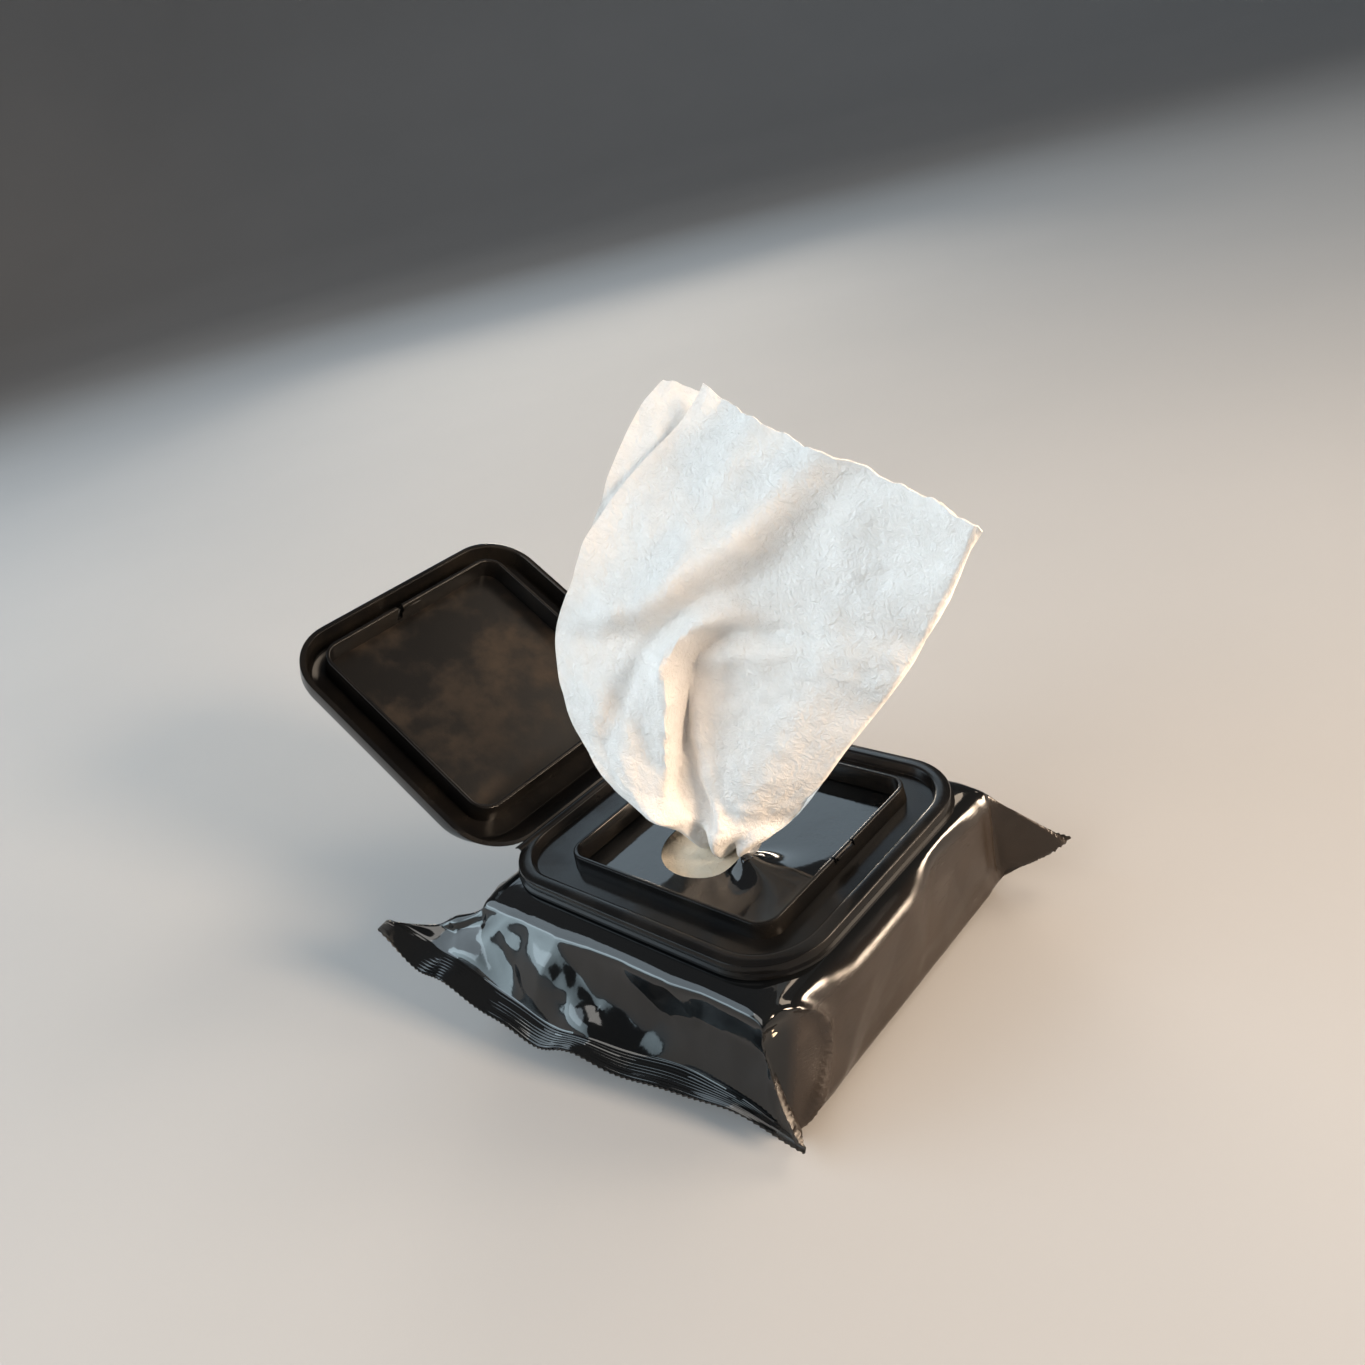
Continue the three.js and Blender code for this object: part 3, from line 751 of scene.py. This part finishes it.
# %% [markdown]
# ## The lid base
# The base is one thin moulding: an outer lip, a moat and an inner rim round the opening. It is
# modelled as two tubes. Each starts as a plane whose corners are bevelled round, and grows by
# inset steps, which keep every wall the same distance from its neighbour, also in the corners.
# Then the two tubes are bridged above and below.

# %% Rounded plates and inset steps
def plate(name, x, half_x, front, rear, radius, z, corner=12):
    """A rounded rectangle as one face, left selected in edit mode."""
    select()
    bpy.ops.mesh.primitive_plane_add(size=1, location=(0, 0, 0))
    size, middle = (2 * half_x, rear - front, 1), (x, (front + rear) / 2, z)
    piece = stretch(name, "VERT", size, middle)
    bpy.ops.mesh.bevel(offset=radius * MM, affect="VERTICES", segments=corner)
    bpy.ops.mesh.select_mode(type="FACE")
    bpy.ops.mesh.select_all(action="SELECT")
    return piece


def step(inset, rise, rear=0.0):
    """Insets the selected face, moves it along its normal, and shifts its rear half along Y."""
    mesh = bpy.context.edit_object.data
    if inset:
        bpy.ops.mesh.inset(thickness=inset * MM, depth=rise * MM, use_even_offset=True)
    else:
        shape = bmesh.from_edit_mesh(mesh)
        way = next(f.normal.copy() for f in shape.faces if f.select)
        bpy.ops.mesh.extrude_region_move(TRANSFORM_OT_translate={"value": way * rise * MM})
    if not rear:
        return
    shape = bmesh.from_edit_mesh(mesh)
    face = next(f for f in shape.faces if f.select)
    middle_y = face.calc_center_median().y
    bpy.ops.mesh.select_mode(type="VERT")
    bpy.ops.mesh.select_all(action="DESELECT")
    for v in face.verts:
        v.select_set(v.co.y > middle_y)
    bmesh.update_edit_mesh(mesh)
    bpy.ops.transform.translate(value=(0, rear * MM, 0))
    bpy.ops.mesh.select_mode(type="FACE")
    bpy.ops.mesh.select_all(action="DESELECT")
    face.select_set(True)
    bmesh.update_edit_mesh(mesh)


def grow(*steps):
    """Takes one step after the other."""
    for each in steps:
        step(*each)


print("plates and steps ready")

# %% [markdown]
# Slots and small catches are made with plain blocks, either cut out or joined on.

# %% Blocks and cuts
def block(name, low, high, bevel=0.0):
    """A cube stretched between two corners, with bevelled edges where asked."""
    select()
    bpy.ops.mesh.primitive_cube_add(size=1, location=(0, 0, 0))
    size, middle = np.subtract(high, low), np.add(low, high) / 2
    piece = stretch(name, "EDGE", size.tolist(), middle.tolist())
    if bevel:
        bpy.ops.mesh.bevel(offset=bevel * MM, segments=2, affect="EDGES")
    select()
    return piece


def carve(piece, cutter):
    """Cuts one piece out of another and removes the cutter."""
    apply_modifier(piece, "BOOLEAN", object=cutter, operation="DIFFERENCE", solver="EXACT")
    bpy.data.objects.remove(cutter)


print("blocks and cuts ready")

# %% [markdown]
# Each step says how far the face is inset and how far it then rises. So the first list reads
# like a walk up the outside of the lip, over its round top and down into the moat, and the
# second one goes up the rim, over its edge and down its inside.

# %% Model the lid base
BASE_X, BASE_Z, RIM_Z = 1.7, 29.5, 30.5
lip = plate("lid_base_shell", BASE_X, 35.4, -40.5, 40.5, 15.5, BASE_Z)
grow(
    (0, 0.6), (0.5, 0.3), (0, 1.5), (0.15, 0.28), (0.35, 0.16), (1.9, 0.16), (0.5, -0.06),
    (0.3, -0.24), (0.6, -1.6), (0.1, -0.1),
)
bpy.ops.mesh.delete(type="FACE")
pick_flat_faces(BASE_Z, -1)
bpy.ops.mesh.delete(type="FACE")
rim = plate("rim", BASE_X, 25.9, -30.2, 25.2, 4.9, RIM_Z)
grow(
    (0.3, 3.2), (0.1, 0.22), (0.15, 0.08), (0.5, 0), (0.15, -0.08), (0.1, -0.22), (0.2, -4.2),
)
bpy.ops.mesh.delete(type="FACE")
pick_flat_faces(RIM_Z, -1)
bpy.ops.mesh.delete(type="FACE")
base = join(lip, rim)
edit(base, "EDGE")
for height in (RIM_Z, BASE_Z):
    print("bridging", pick_open_edges(height), "edges at", height)
    bpy.ops.mesh.bridge_edge_loops()
turn_outwards()
print("lid base:", [mm(x / MM) for x in base.dimensions])

# %% [markdown]
# The front of the rim has a springy tongue between two slits, where the lid's latch snaps in,
# and the rear lip is cut away along the hinge. The tongue itself is a block joined on.

# %% Slits, tongue and hinge seat
for slit in (-1.8, 4.6):
    carve(base, block("slit", (slit, -31.2, 32.7), (slit + 0.6, -27.6, 35.2)))
carve(base, block("seat", (-27.4, 38.15, 31.5), (31.6, 43, 34)))
tongue = block("tongue", (-0.9, -30.45, 33.0), (4.3, -29.3, 33.7), 0.15)
base = join(base, tongue)
smooth_by_angle(base, 35)
print("lid base:", triangles(base), "triangles")

# %% [markdown]
# ## The lid
# The lid is modelled shut, where its sizes are plain, and is then turned open about its hinge.
# One plate grows upwards into the outside of the tray and downwards into its hollow. The rib
# inside, which closes round the base's rim, is a second tube, bridged to the hollow's ceiling.
# A third number in a step shifts the rear half of the face, where the wall leans.

# %% Model the lid
LID_X, LID_Z = 2.07, 33.1
CEILING_Z = 38.64                       # of the hollow, where the rib starts
HINGE = (0.0, 38.4 * MM, 32.4 * MM)
OPEN_ANGLE = 143.3
lid = plate("lid_shell", LID_X, 35.5, -36.2, 38.0, 13.0, LID_Z, corner=14)
grow(                                   # up the outside of the tray
    (0, 0.5, -0.4), (0.2, 3.2, -3.0), (0.35, 1.0, -0.35), (0.45, 0.8, -0.25), (0.7, 0.6, 0),
    (0.9, 0.35, 0), (1.2, 0.17, 0), (1.7, 0.08, 0),
)
print("faces below:", pick_flat_faces(LID_Z, -1))
grow(                                   # over its edge and into the hollow
    (0.3, 0.2, 0.3), (0.9, 0, 0), (0.12, -0.12, 0), (0.18, -0.38, -0.3), (0.5, -4.24, -3.2),
    (0.35, -0.6, -0.1), (0.65, -0.4, -0.1),
)
bpy.ops.mesh.delete(type="FACE")
rib = plate("rib", LID_X, 28.15, -31.15, 27.55, 5.35, CEILING_Z, corner=14)
bpy.ops.mesh.flip_normals()
grow(
    (0.15, 5.34), (0.08, 0.14), (0.12, 0.06), (0.6, 0), (0.12, -0.06), (0.08, -0.14),
    (0.15, -5.34),
)
print("faces over the rib:", pick_flat_faces(CEILING_Z, 1))
bpy.ops.mesh.delete(type="FACE")
lid = join(lid, rib)
edit(lid, "EDGE")
print("bridging", pick_open_edges(CEILING_Z), "edges")
bpy.ops.mesh.bridge_edge_loops()
turn_outwards()
carve(lid, block("slot", (LID_X - 4.2, -31.6, 32.1), (LID_X - 2.6, -29.4, 37.5)))
latch = block("latch", (LID_X - 2.6, -30.6, 34.0), (LID_X + 2.9, -29.55, 35.1), 0.2)
lid = join(lid, latch)
smooth_by_angle(lid, 35)
print("lid shut:", [mm(x / MM) for x in lid.dimensions], triangles(lid), "triangles")

# %% [markdown]
# The lid was modelled shut, and the photo shows it open. The whole mesh is turned about the
# hinge's axis, and not the object, so that its own origin stays with the frame's.

# %% Turn the lid open
edit(lid, "VERT")
bpy.ops.mesh.select_all(action="SELECT")
bpy.ops.transform.rotate(value=math.radians(OPEN_ANGLE), orient_axis="X", center_override=HINGE)
select()

# %% [markdown]
# ## The hinge
# Lid and base are one moulding, joined by a web thin enough to bend. Here it is a narrow strip of
# its own, subdivided and arched along its bend, that spans from the base to the lid.

# %% Model the hinge web
WEB_Y, WEB_LENGTH, WEB_RISE = 38.35, 1.9, 0.42
select()
bpy.ops.mesh.primitive_plane_add(size=1, location=(0, 0, 0))
web = stretch("hinge_web", "EDGE", (56.6, WEB_LENGTH, 1), (LID_X, WEB_Y, 32.25))
bpy.ops.mesh.subdivide(number_cuts=9)
shape = bmesh.from_edit_mesh(web.data)
for v in shape.verts:
    share = (v.co.y / MM - WEB_Y) / (WEB_LENGTH / 2)
    v.co.z += WEB_RISE * MM * (1 - share * share)
bmesh.update_edit_mesh(web.data)
select()
apply_modifier(web, "SOLIDIFY", thickness=0.35 * MM, offset=0)
smooth_by_angle(web, 60)
print("hinge web:", triangles(web), "triangles")

# %% [markdown]
# ## Black plastic
# The moulding is satin black. Skin oil and dust leave soft patches that are a little browner
# and rougher, and the inside of the lid, which is textured, is the dullest of all.

# %% Satin black plastic
def plastic(name, dull):
    finish = Finish(name, IOR=1.45, Specular_IOR_Level=0.24)
    place = finish.place()
    patches = finish.noise(place, 16, 5, 0.6)
    grain = finish.noise(place, 0.45, 3, 0.6)
    marks = finish.spread(patches, 0.40 + 0.04 * dull, 0.70 + 0.02 * dull)
    rough = (0.17 + 0.19 * dull) + marks * (0.10 + 0.12 * dull)
    deep = (0.004, 0.004, 0.0042)
    worn = (0.008 + 0.018 * dull, 0.007 + 0.013 * dull, 0.006 + 0.009 * dull)
    colour = finish.mix(marks, deep, worn)
    bump = finish.bump(grain, 0.02 + 0.03 * dull, 0.35)
    return finish.done(Base_Color=colour, Roughness=rough, Normal=bump)


plastic_plain = plastic("black_plastic", 0.0)
plastic_inside = plastic("black_plastic_inside", 1.0)
for piece in (base, lid, web):
    wear(piece, plastic_plain)
lid.data.materials.append(plastic_inside)
turn_back = Matrix.Translation(HINGE) @ Matrix.Rotation(math.radians(OPEN_ANGLE), 4, "X")
turn_back = turn_back @ Matrix.Translation([-x for x in HINGE])
inside_faces = 0
for face in lid.data.polygons:
    spot = (turn_back @ face.center) / MM
    if abs(spot.z - CEILING_Z) < 0.1 and abs(spot.x - LID_X) < 27 and -30.2 < spot.y < 26.6:
        face.material_index = 1
        inside_faces += 1
print("faces of the inner panel:", inside_faces)

# %% [markdown]
# ## The stack of wipes
# Each wipe is a sheet of 150 by 150 mm, folded in half and in half again. One is modelled as a
# single net: along one way it runs down a leg, round the outer fold and back; along the other
# way it runs over one ply, round the inner fold and back over the second ply. The others are
# copies, turned end for end by turns, as a folding machine lays them.

# %% Model one folded wipe
WIPES = 11
PITCH, BOTTOM = 2.35, 0.95              # height of each wipe, and of the film under the stack
LEG, SLOT = 0.92, 0.3                   # two plies, and the gap between the legs
HALF_X, HALF_Y = 36.4, 37.5


def folded_wipe(index):
    """Points and faces of one folded wipe, as a single surface."""
    mid_radius, gap = (LEG + SLOT) / 2, LEG / 4
    bend_x = HALF_X - LEG - SLOT / 2
    legs = np.linspace(-HALF_X, bend_x, 26)
    arc = np.linspace(-math.pi / 2, math.pi / 2, 8)[1:-1]
    route = [(x, -mid_radius, 0.0, -1.0) for x in legs]      # x, z and the way out at each point
    for a in arc:
        nx, nz = math.cos(a), math.sin(a)
        route.append((bend_x + mid_radius * nx, mid_radius * nz, nx, nz))
    route += [(x, mid_radius, 0.0, 1.0) for x in legs[::-1]]
    spans = np.linspace(HALF_Y, -HALF_Y + gap, 26)
    bends = np.linspace(math.pi / 2, -math.pi / 2, 6)[1:-1]
    ply = [(y, gap) for y in spans]                          # y, and how far off the route
    ply += [(-HALF_Y + gap - gap * math.cos(a), gap * math.sin(a)) for a in bends]
    ply += [(y, -gap) for y in spans[::-1]]
    turned = 1 if index % 2 else -1
    points = []
    for x, z, nx, nz in route:
        for y, off in ply:
            ripple = 0.05 * math.sin(x / 5.1 + index) * math.cos(y / 6.3 + 2 * index)
            points.append((
                turned * (x + nx * off) + 0.35 * math.sin(index * 2.4),
                turned * y + 0.5 * math.cos(index * 1.7),
                z + nz * off + ripple + LEG + SLOT / 2 + BOTTOM + PITCH * index,
            ))
    return points, net_faces(len(route), len(ply))


stack = []
for index in range(WIPES):
    wipe = mesh_piece(f"folded_wipe_{index + 1:02d}", *folded_wipe(index))
    apply_modifier(wipe, "SOLIDIFY", thickness=0.30 * MM, offset=0)
    smooth_by_angle(wipe, 60)
    stack.append(wipe)
print("folded wipes:", len(stack), "of", triangles(stack[0]), "triangles")

# %% [markdown]
# ## The pulled wipe
# The next wipe has opened to a half fold, so it is two plies wide open at one side and joined
# at the other. It lies flat on the stack at its tail, squeezes through the hole and fans out
# to its free end. It is lofted through rows taken from the solid: the two edges of each row,
# and how much it waves. Cloth simulation would fold it too, but not where the photo shows it.

# %% Rows of the pulled wipe
WIPE_ROWS = [
    ((34, 35, -1.6), (34, -35, -1.6), 0.0), ((21, 32, -1.6), (21, -32, -1.6), 0.0),
    ((8, 20, -1.6), (8, -21, -1.6), 0.0), ((1, 8, -1.6), (1, -9.5, -1.6), 0.0),
    ((-2.4, 5, -0.9), (-1.8, -7.5, -0.9), 0.0), ((-4.2, 5, 1.4), (-2.6, -7.8, 0.8), 0.2),
    ((-6, 9, 6.3), (-0.5, -12, 3.8), 0.6), ((-9, 14, 10.8), (3, -16, 6.8), 1.6),
    ((-10, 22, 18.8), (4, -22, 13.8), 2.4), ((-9, 29, 30.8), (6, -31, 25.8), 2.6),
    ((-6, 30, 46.8), (7, -40, 36.8), 2.2), ((-2, 23, 59.8), (7, -47, 45.8), 1.6),
    ((4, 18, 71.8), (7, -53, 54.8), 1.2), ((12, 12, 83.8), (7, -59, 63.8), 1.0),
    ((20, 5, 93.3), (4, -66, 75.3), 0.8),
]
ROWS_PER_STEP = 13
PLY_POINTS = 104
ROW_MM, PLY_MM = 14.0, 78.0             # one step along the wipe, and its width


def through(values, where):
    """A smooth curve through values at 0, 1, 2 and so on."""
    values = np.asarray(values, float)
    last = len(values) - 1
    i = np.clip(np.floor(where).astype(int), 0, last - 1)
    f = (where - i)[:, None]
    p = [values[np.clip(i + k, 0, last)] for k in (-1, 0, 1, 2)]
    return 0.5 * (
        2 * p[1] + (p[2] - p[0]) * f + (2 * p[0] - 5 * p[1] + 4 * p[2] - p[3]) * f ** 2
        + (3 * p[1] - p[0] - 3 * p[2] + p[3]) * f ** 3
    )


k_rows = np.linspace(0, len(WIPE_ROWS) - 1, (len(WIPE_ROWS) - 1) * ROWS_PER_STEP + 1)
edge_a = through([r[0] for r in WIPE_ROWS], k_rows)
edge_b = through([r[1] for r in WIPE_ROWS], k_rows)
wave = through([[r[2]] for r in WIPE_ROWS], k_rows)[:, 0]
face_way = np.cross(edge_b - edge_a, np.gradient((edge_a + edge_b) / 2, axis=0))
face_way /= np.linalg.norm(face_way, axis=1, keepdims=True)
across_way = (edge_b - edge_a) / np.linalg.norm(edge_b - edge_a, axis=1, keepdims=True)
print("rows of the pulled wipe:", len(k_rows))

# %% [markdown]
# Across each row the net runs over the front ply, round the joined edge and back over the
# other ply. Its points are crowded where the sharp fold will be. K says how far a point is
# along the wipe, SS how far across, and SIDES which ply it is on.

# %% Net of the two plies
even = np.linspace(0, 1, PLY_POINTS)
crowd = np.cumsum(1 + 1.3 * bell(even - 0.42, 0.2))
front = (crowd - crowd[0]) / (crowd[-1] - crowd[0])
turn = np.linspace(0, math.pi, 8)[1:-1]
S = np.concatenate([front, np.ones(len(turn)), front[::-1]])
SIDE = np.concatenate([np.ones(PLY_POINTS), np.cos(turn), -np.ones(PLY_POINTS)])
K, SS = np.meshgrid(k_rows, S, indexing="ij")
SIDES = np.broadcast_to(SIDE, K.shape)
stagger = 0.13 * ease((K - 11.2) / 2.8) * (SIDES > 0) - 0.03 * ease((K - 12) / 2) * (SIDES < 0)
SS = stagger + SS * (1 - stagger)
C = 1 - 2 * SS
shift = wave[:, None] * np.sin(5.2 * C + 0.55 * K) * (1 - C * C * 0.5)
print("net of the wipe:", K.shape)

# %% [markdown]
# A fold is drawn as a line of (row, across) points on the flat cloth. What it does at a point
# depends on the distance to that line and on the share along it, so both are measured, and a
# profile of the distance says how far the cloth is pushed out of its plane.

# %% Distance from a fold's line
def from_fold(points):
    """Millimetres from a fold of (row, across) points, plus on its right, and the share along."""
    line = through(points, np.linspace(0, len(points) - 1, 8 * len(points))) * [ROW_MM, PLY_MM]
    best, signed, along = [np.full(K.shape, value) for value in (1e9, 0.0, 0.0)]
    for i, ((v0, u0), (v1, u1)) in enumerate(zip(line, line[1:])):
        du, dv = u1 - u0, v1 - v0
        off_u, off_v = SS * PLY_MM - u0, K * ROW_MM - v0
        f = np.clip((off_u * du + off_v * dv) / (du * du + dv * dv), 0, 1)
        off_u, off_v = off_u - f * du, off_v - f * dv
        distance = np.hypot(off_u, off_v)
        closer = distance < best
        best = np.where(closer, distance, best)
        signed = np.where(closer, np.sign(off_u * dv - off_v * du) * distance, signed)
        along = np.where(closer, (i + f) / (len(line) - 1), along)
    return signed, along


def fades(along, rise, fall=None):
    """A strength that rises over a share of the line and may fall over another at its end."""
    falling = ease((along - (1 - fall)) / fall) if fall else 0
    return ease(along / rise) * (1 - falling)


print("folds can be drawn on", K.size, "points")

# %% [markdown]
# The main fold starts at the hole and ends in a hook. It is a broad slope on its left and a
# steep drop on its right, with a hollow behind the drop.

# %% The main fold
fold, along = from_fold([
    (6.4, 0.30), (7.38, 0.275), (8.35, 0.365), (9.23, 0.405), (9.8, 0.41), (10.18, 0.405),
    (10.55, 0.41), (10.93, 0.44), (11.15, 0.52), (11.1, 0.60),
])
strength = fades(along, 0.36, 0.22)
flank = 17 - 12 * ease((along - 0.15) / 0.5)             # width of the slope, in mm
left = np.clip(1 + fold / flank, 0, 1)
drop = 3.2 + 3.4 * ease((along - 0.42) / 0.3)            # width of the drop
slope = 0.55 * left * left + 0.45 * bell(fold, 3.6)
crest = np.where(fold < 0, slope, 1 - ease(fold / drop))
valley = ease(fold / drop) * np.exp(-np.clip(fold - drop, 0, None) / 6.0)
tall_fold = 5.2 - 1.9 * ease((along - 0.5) / 0.25)
shift += strength * (tall_fold * crest - 2.0 * valley)
print("height of the main fold, mm:", mm((strength * tall_fold * crest).max()))

# %% [markdown]
# The other folds are softer: a second ridge on the right of the first, a crease that borders
# its slope, a pocket under the hook and a diagonal that climbs to the free edge.

# %% The softer folds
SOFT_FOLDS = [                          # the line, its strength, and bells: height, place, width
    ([(6.2, 0.56), (7.2, 0.53), (8.2, 0.50), (9.2, 0.47), (10.0, 0.47)],
     (0.2, 0.3), [(1.6, 1.5, 3.5), (-0.8, -3.0, 2.5)]),
    ([(8.3, 0.06), (8.78, 0.165), (9.5, 0.27), (10.35, 0.33), (10.9, 0.37), (11.5, 0.46)],
     (0.2, 0.3), [(-1.3, 0.0, 2.6)]),
    ([(10.0, 0.43), (10.38, 0.535), (10.57, 0.615), (10.8, 0.685), (11.05, 0.735)],
     (0.2, 0.4), [(1.3, 1.5, 3.2), (-1.5, -3.0, 3.2)]),
    ([(10.2, 0.04), (10.5, 0.17), (10.85, 0.28), (11.5, 0.38), (12.4, 0.50), (13.3, 0.555),
      (14.0, 0.60)], (0.25,), [(2.5, -2.5, 5.0), (-2.0, 5.5, 5.5)]),
]
for line, shares, bells in SOFT_FOLDS:
    away, along = from_fold(line)
    profile = sum(tall * bell(away - place, width) for tall, place, width in bells)
    shift += fades(along, *shares) * profile
print("range with the softer folds, mm:", mm(np.ptp(shift)))

# %% [markdown]
# Pleats gather the cloth where it squeezes through the hole, and it billows into two lobes
# above them. The free end waves gently. All over it the cloth flutters and crinkles a little,
# which is random but soft, at three sizes.

# %% Pleats, waves and crinkles
shift += 1.1 * ease((K - 12) / 1.5) * np.sin(19 * SS + 1.4) * (1 - 0.5 * SS)
pleats = ease((K - 1.2) / 1.6) * (1 - ease((K - 5.0) / 2.6))
pleats = pleats * np.sin(math.pi * np.clip(SS * 1.02, 0, 1)) ** 0.4
shift += 2.0 * pleats * np.sin(2 * math.pi * 2.2 * SS + 0.9)
shift += 3.6 * bell(K - 6.7, 0.9) * bell(SS - 0.16, 0.16)
shift += 2.4 * bell(K - 5.9, 0.8) * bell(SS - 0.62, 0.22)
shift += (SIDES < 0) * ease((K - 5) / 3) * 0.8 * np.sin(9 * SS + 0.7 * K)
NEVER = 10 ** 6                         # this net isn't closed, so its facets never repeat
flutter = facets(K * 1.3 + 5, SS * 9 + (SIDES < 0) * 20, NEVER, 41, soft=True) - 0.5
shift += 0.8 * flutter * ease((K - 5) / 3)
for size_mm, lift, seed in ((6.5, 0.80, 43), (3.0, 0.42, 47)):
    up_cloth, over = K * ROW_MM / size_mm + 5, SS * PLY_MM / size_mm + (SIDES < 0) * 50
    crinkle = facets(up_cloth, over, NEVER, seed, soft=True) - 0.5
    shift += lift * crinkle * ease((K - 5.5) / 3)
print("folds of the wipe, mm:", mm(shift.min()), "to", mm(shift.max()))

# %% [markdown]
# The net is now set in space, the two plies a small gap apart. The main fold leans over its
# drop, the free edge is torn a little uneven, and the tail is laid flat on the stack.

# %% Make the pulled wipe
TORN_ROW, TAIL_ROW = 13.5, 4.3          # where the uneven edge starts, and where the tail ends
gap = 0.32 + 0.35 * ease((K - 3) / 4) * (1 - 0.5 * ease((K - 12) / 2))
gap += 0.5 * bell(SS - 0.02, 0.05) * ease((K - 10) / 3)
cloth = edge_a[:, None, :] * (1 - SS)[:, :, None] + edge_b[:, None, :] * SS[:, :, None]
cloth += face_way[:, None, :] * (shift + gap * SIDES)[:, :, None]
overhang = 1.7 * strength * bell(fold + 0.8, 2.6) * (1 - ease((K - 9.4) / 1.0))
cloth += across_way[:, None, :] * ((1 - np.abs(SIDES)) * gap + overhang)[:, :, None]
torn = 0.35 * np.sin(23 * SS) + 0.25 * np.sin(57 * SS + 1) + 0.12 * np.sin(131 * SS)
torn += 1.7 * bell(SS - 0.12, 0.07) * (SIDES > 0) - 0.9 * (SIDES < 0)
rise = cloth[:, :, 2] + np.where(K > TORN_ROW, (K - TORN_ROW) * 2 * torn, 0)
flat_tail = 1 - ease((K - 2.2) / 1.4)
rise = rise * (1 - flat_tail) + np.where(SIDES > 0, -1.1, -1.75) * flat_tail
cloth[:, :, 2] = HEIGHT + np.where(K < TAIL_ROW, np.clip(rise, -1.9, -0.75), rise)
pulled = mesh_piece("pulled_wipe_cloth", cloth.reshape(-1, 3), net_faces(*K.shape))
area = sum(p.area for p in pulled.data.polygons)
print("cloth area, m2:", round(area, 5), "of", 0.15 * 0.15)
apply_modifier(pulled, "SOLIDIFY", thickness=0.28 * MM, offset=0)
smooth_by_angle(pulled, 60)
print("pulled wipe:", triangles(pulled), "triangles")

# %% [markdown]
# ## The cloth's finish
# The wipes are a soft non-woven: short fibres pressed together, with no weave. Up close that
# is a cloudy mottle and a fine tangle of hairs. The pulled wipe is white, and the ones that
# still lie damp in the pack look creamier.

# %% Non-woven cloth
def non_woven(name, pale, deep):
    finish = Finish(name, Specular_IOR_Level=0.2, Sheen_Weight=0.10, Sheen_Roughness=0.6)
    place = finish.place()
    clouds = finish.noise(place, 6.5, 4, 0.6)
    tangle = finish.noise(finish.place((1, 0.35, 0.5), (0.4, 0.3, 0.2)), 0.55, 4, 0.7, 1.2)
    hairs = finish.noise(finish.place((0.4, 1, 1), (0.2, 0.9, 0.6)), 0.32, 2, 0.6, 2.0)
    share = finish.spread(clouds, 0.3, 0.7) * 0.6 + finish.spread(tangle, 0.3, 0.75) * 0.4
    colour = finish.mix(share, deep, pale)
    crumple = finish.noise(place, 2.3, 3, 0.65, 1.6)
    bump = finish.bump(clouds, 0.9, 0.6)
    bump = finish.bump(crumple, 0.7, 0.7, bump)
    bump = finish.bump(tangle * 0.7 + hairs * 0.3, 0.30, 0.9, bump)
    return finish.done(Base_Color=colour, Roughness=0.92, Normal=bump)


cloth_white = non_woven("wipe_white", (0.86, 0.835, 0.81), (0.77, 0.742, 0.714))
cloth_cream = non_woven("wipe_cream", (0.80, 0.73, 0.60), (0.70, 0.62, 0.49))
wear(pulled, cloth_white)
for wipe in stack:
    wear(wipe, cloth_cream)
print("cloth finishes ready")

# %% [markdown]
# ## Fit everything to the frame
# Each piece is parented to the body that carries it, and the solids it stands for are hidden. The
# hinge web only has its place baked into its mesh.

# %% Bodies and solids
def fit(piece, body, slot, *solids):
    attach(piece, body)
    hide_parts(*solids)


fit(film, "pack", "film", "film_pouch")
fit(base, "pack", "lid_plastic", "lid_base")
fit(lid, "lid", "lid_plastic", "lid")
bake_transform(web)
fit(pulled, "pack", "wipe_pulled", "pulled_wipe")
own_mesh(pulled)
for index, wipe in enumerate(stack):
    fit(wipe, "pack", "wipe", f"wipe_{index + 1:02d}")

# %% [markdown]
# ## The size
# The dressed pack has to stay inside the box of its solids.
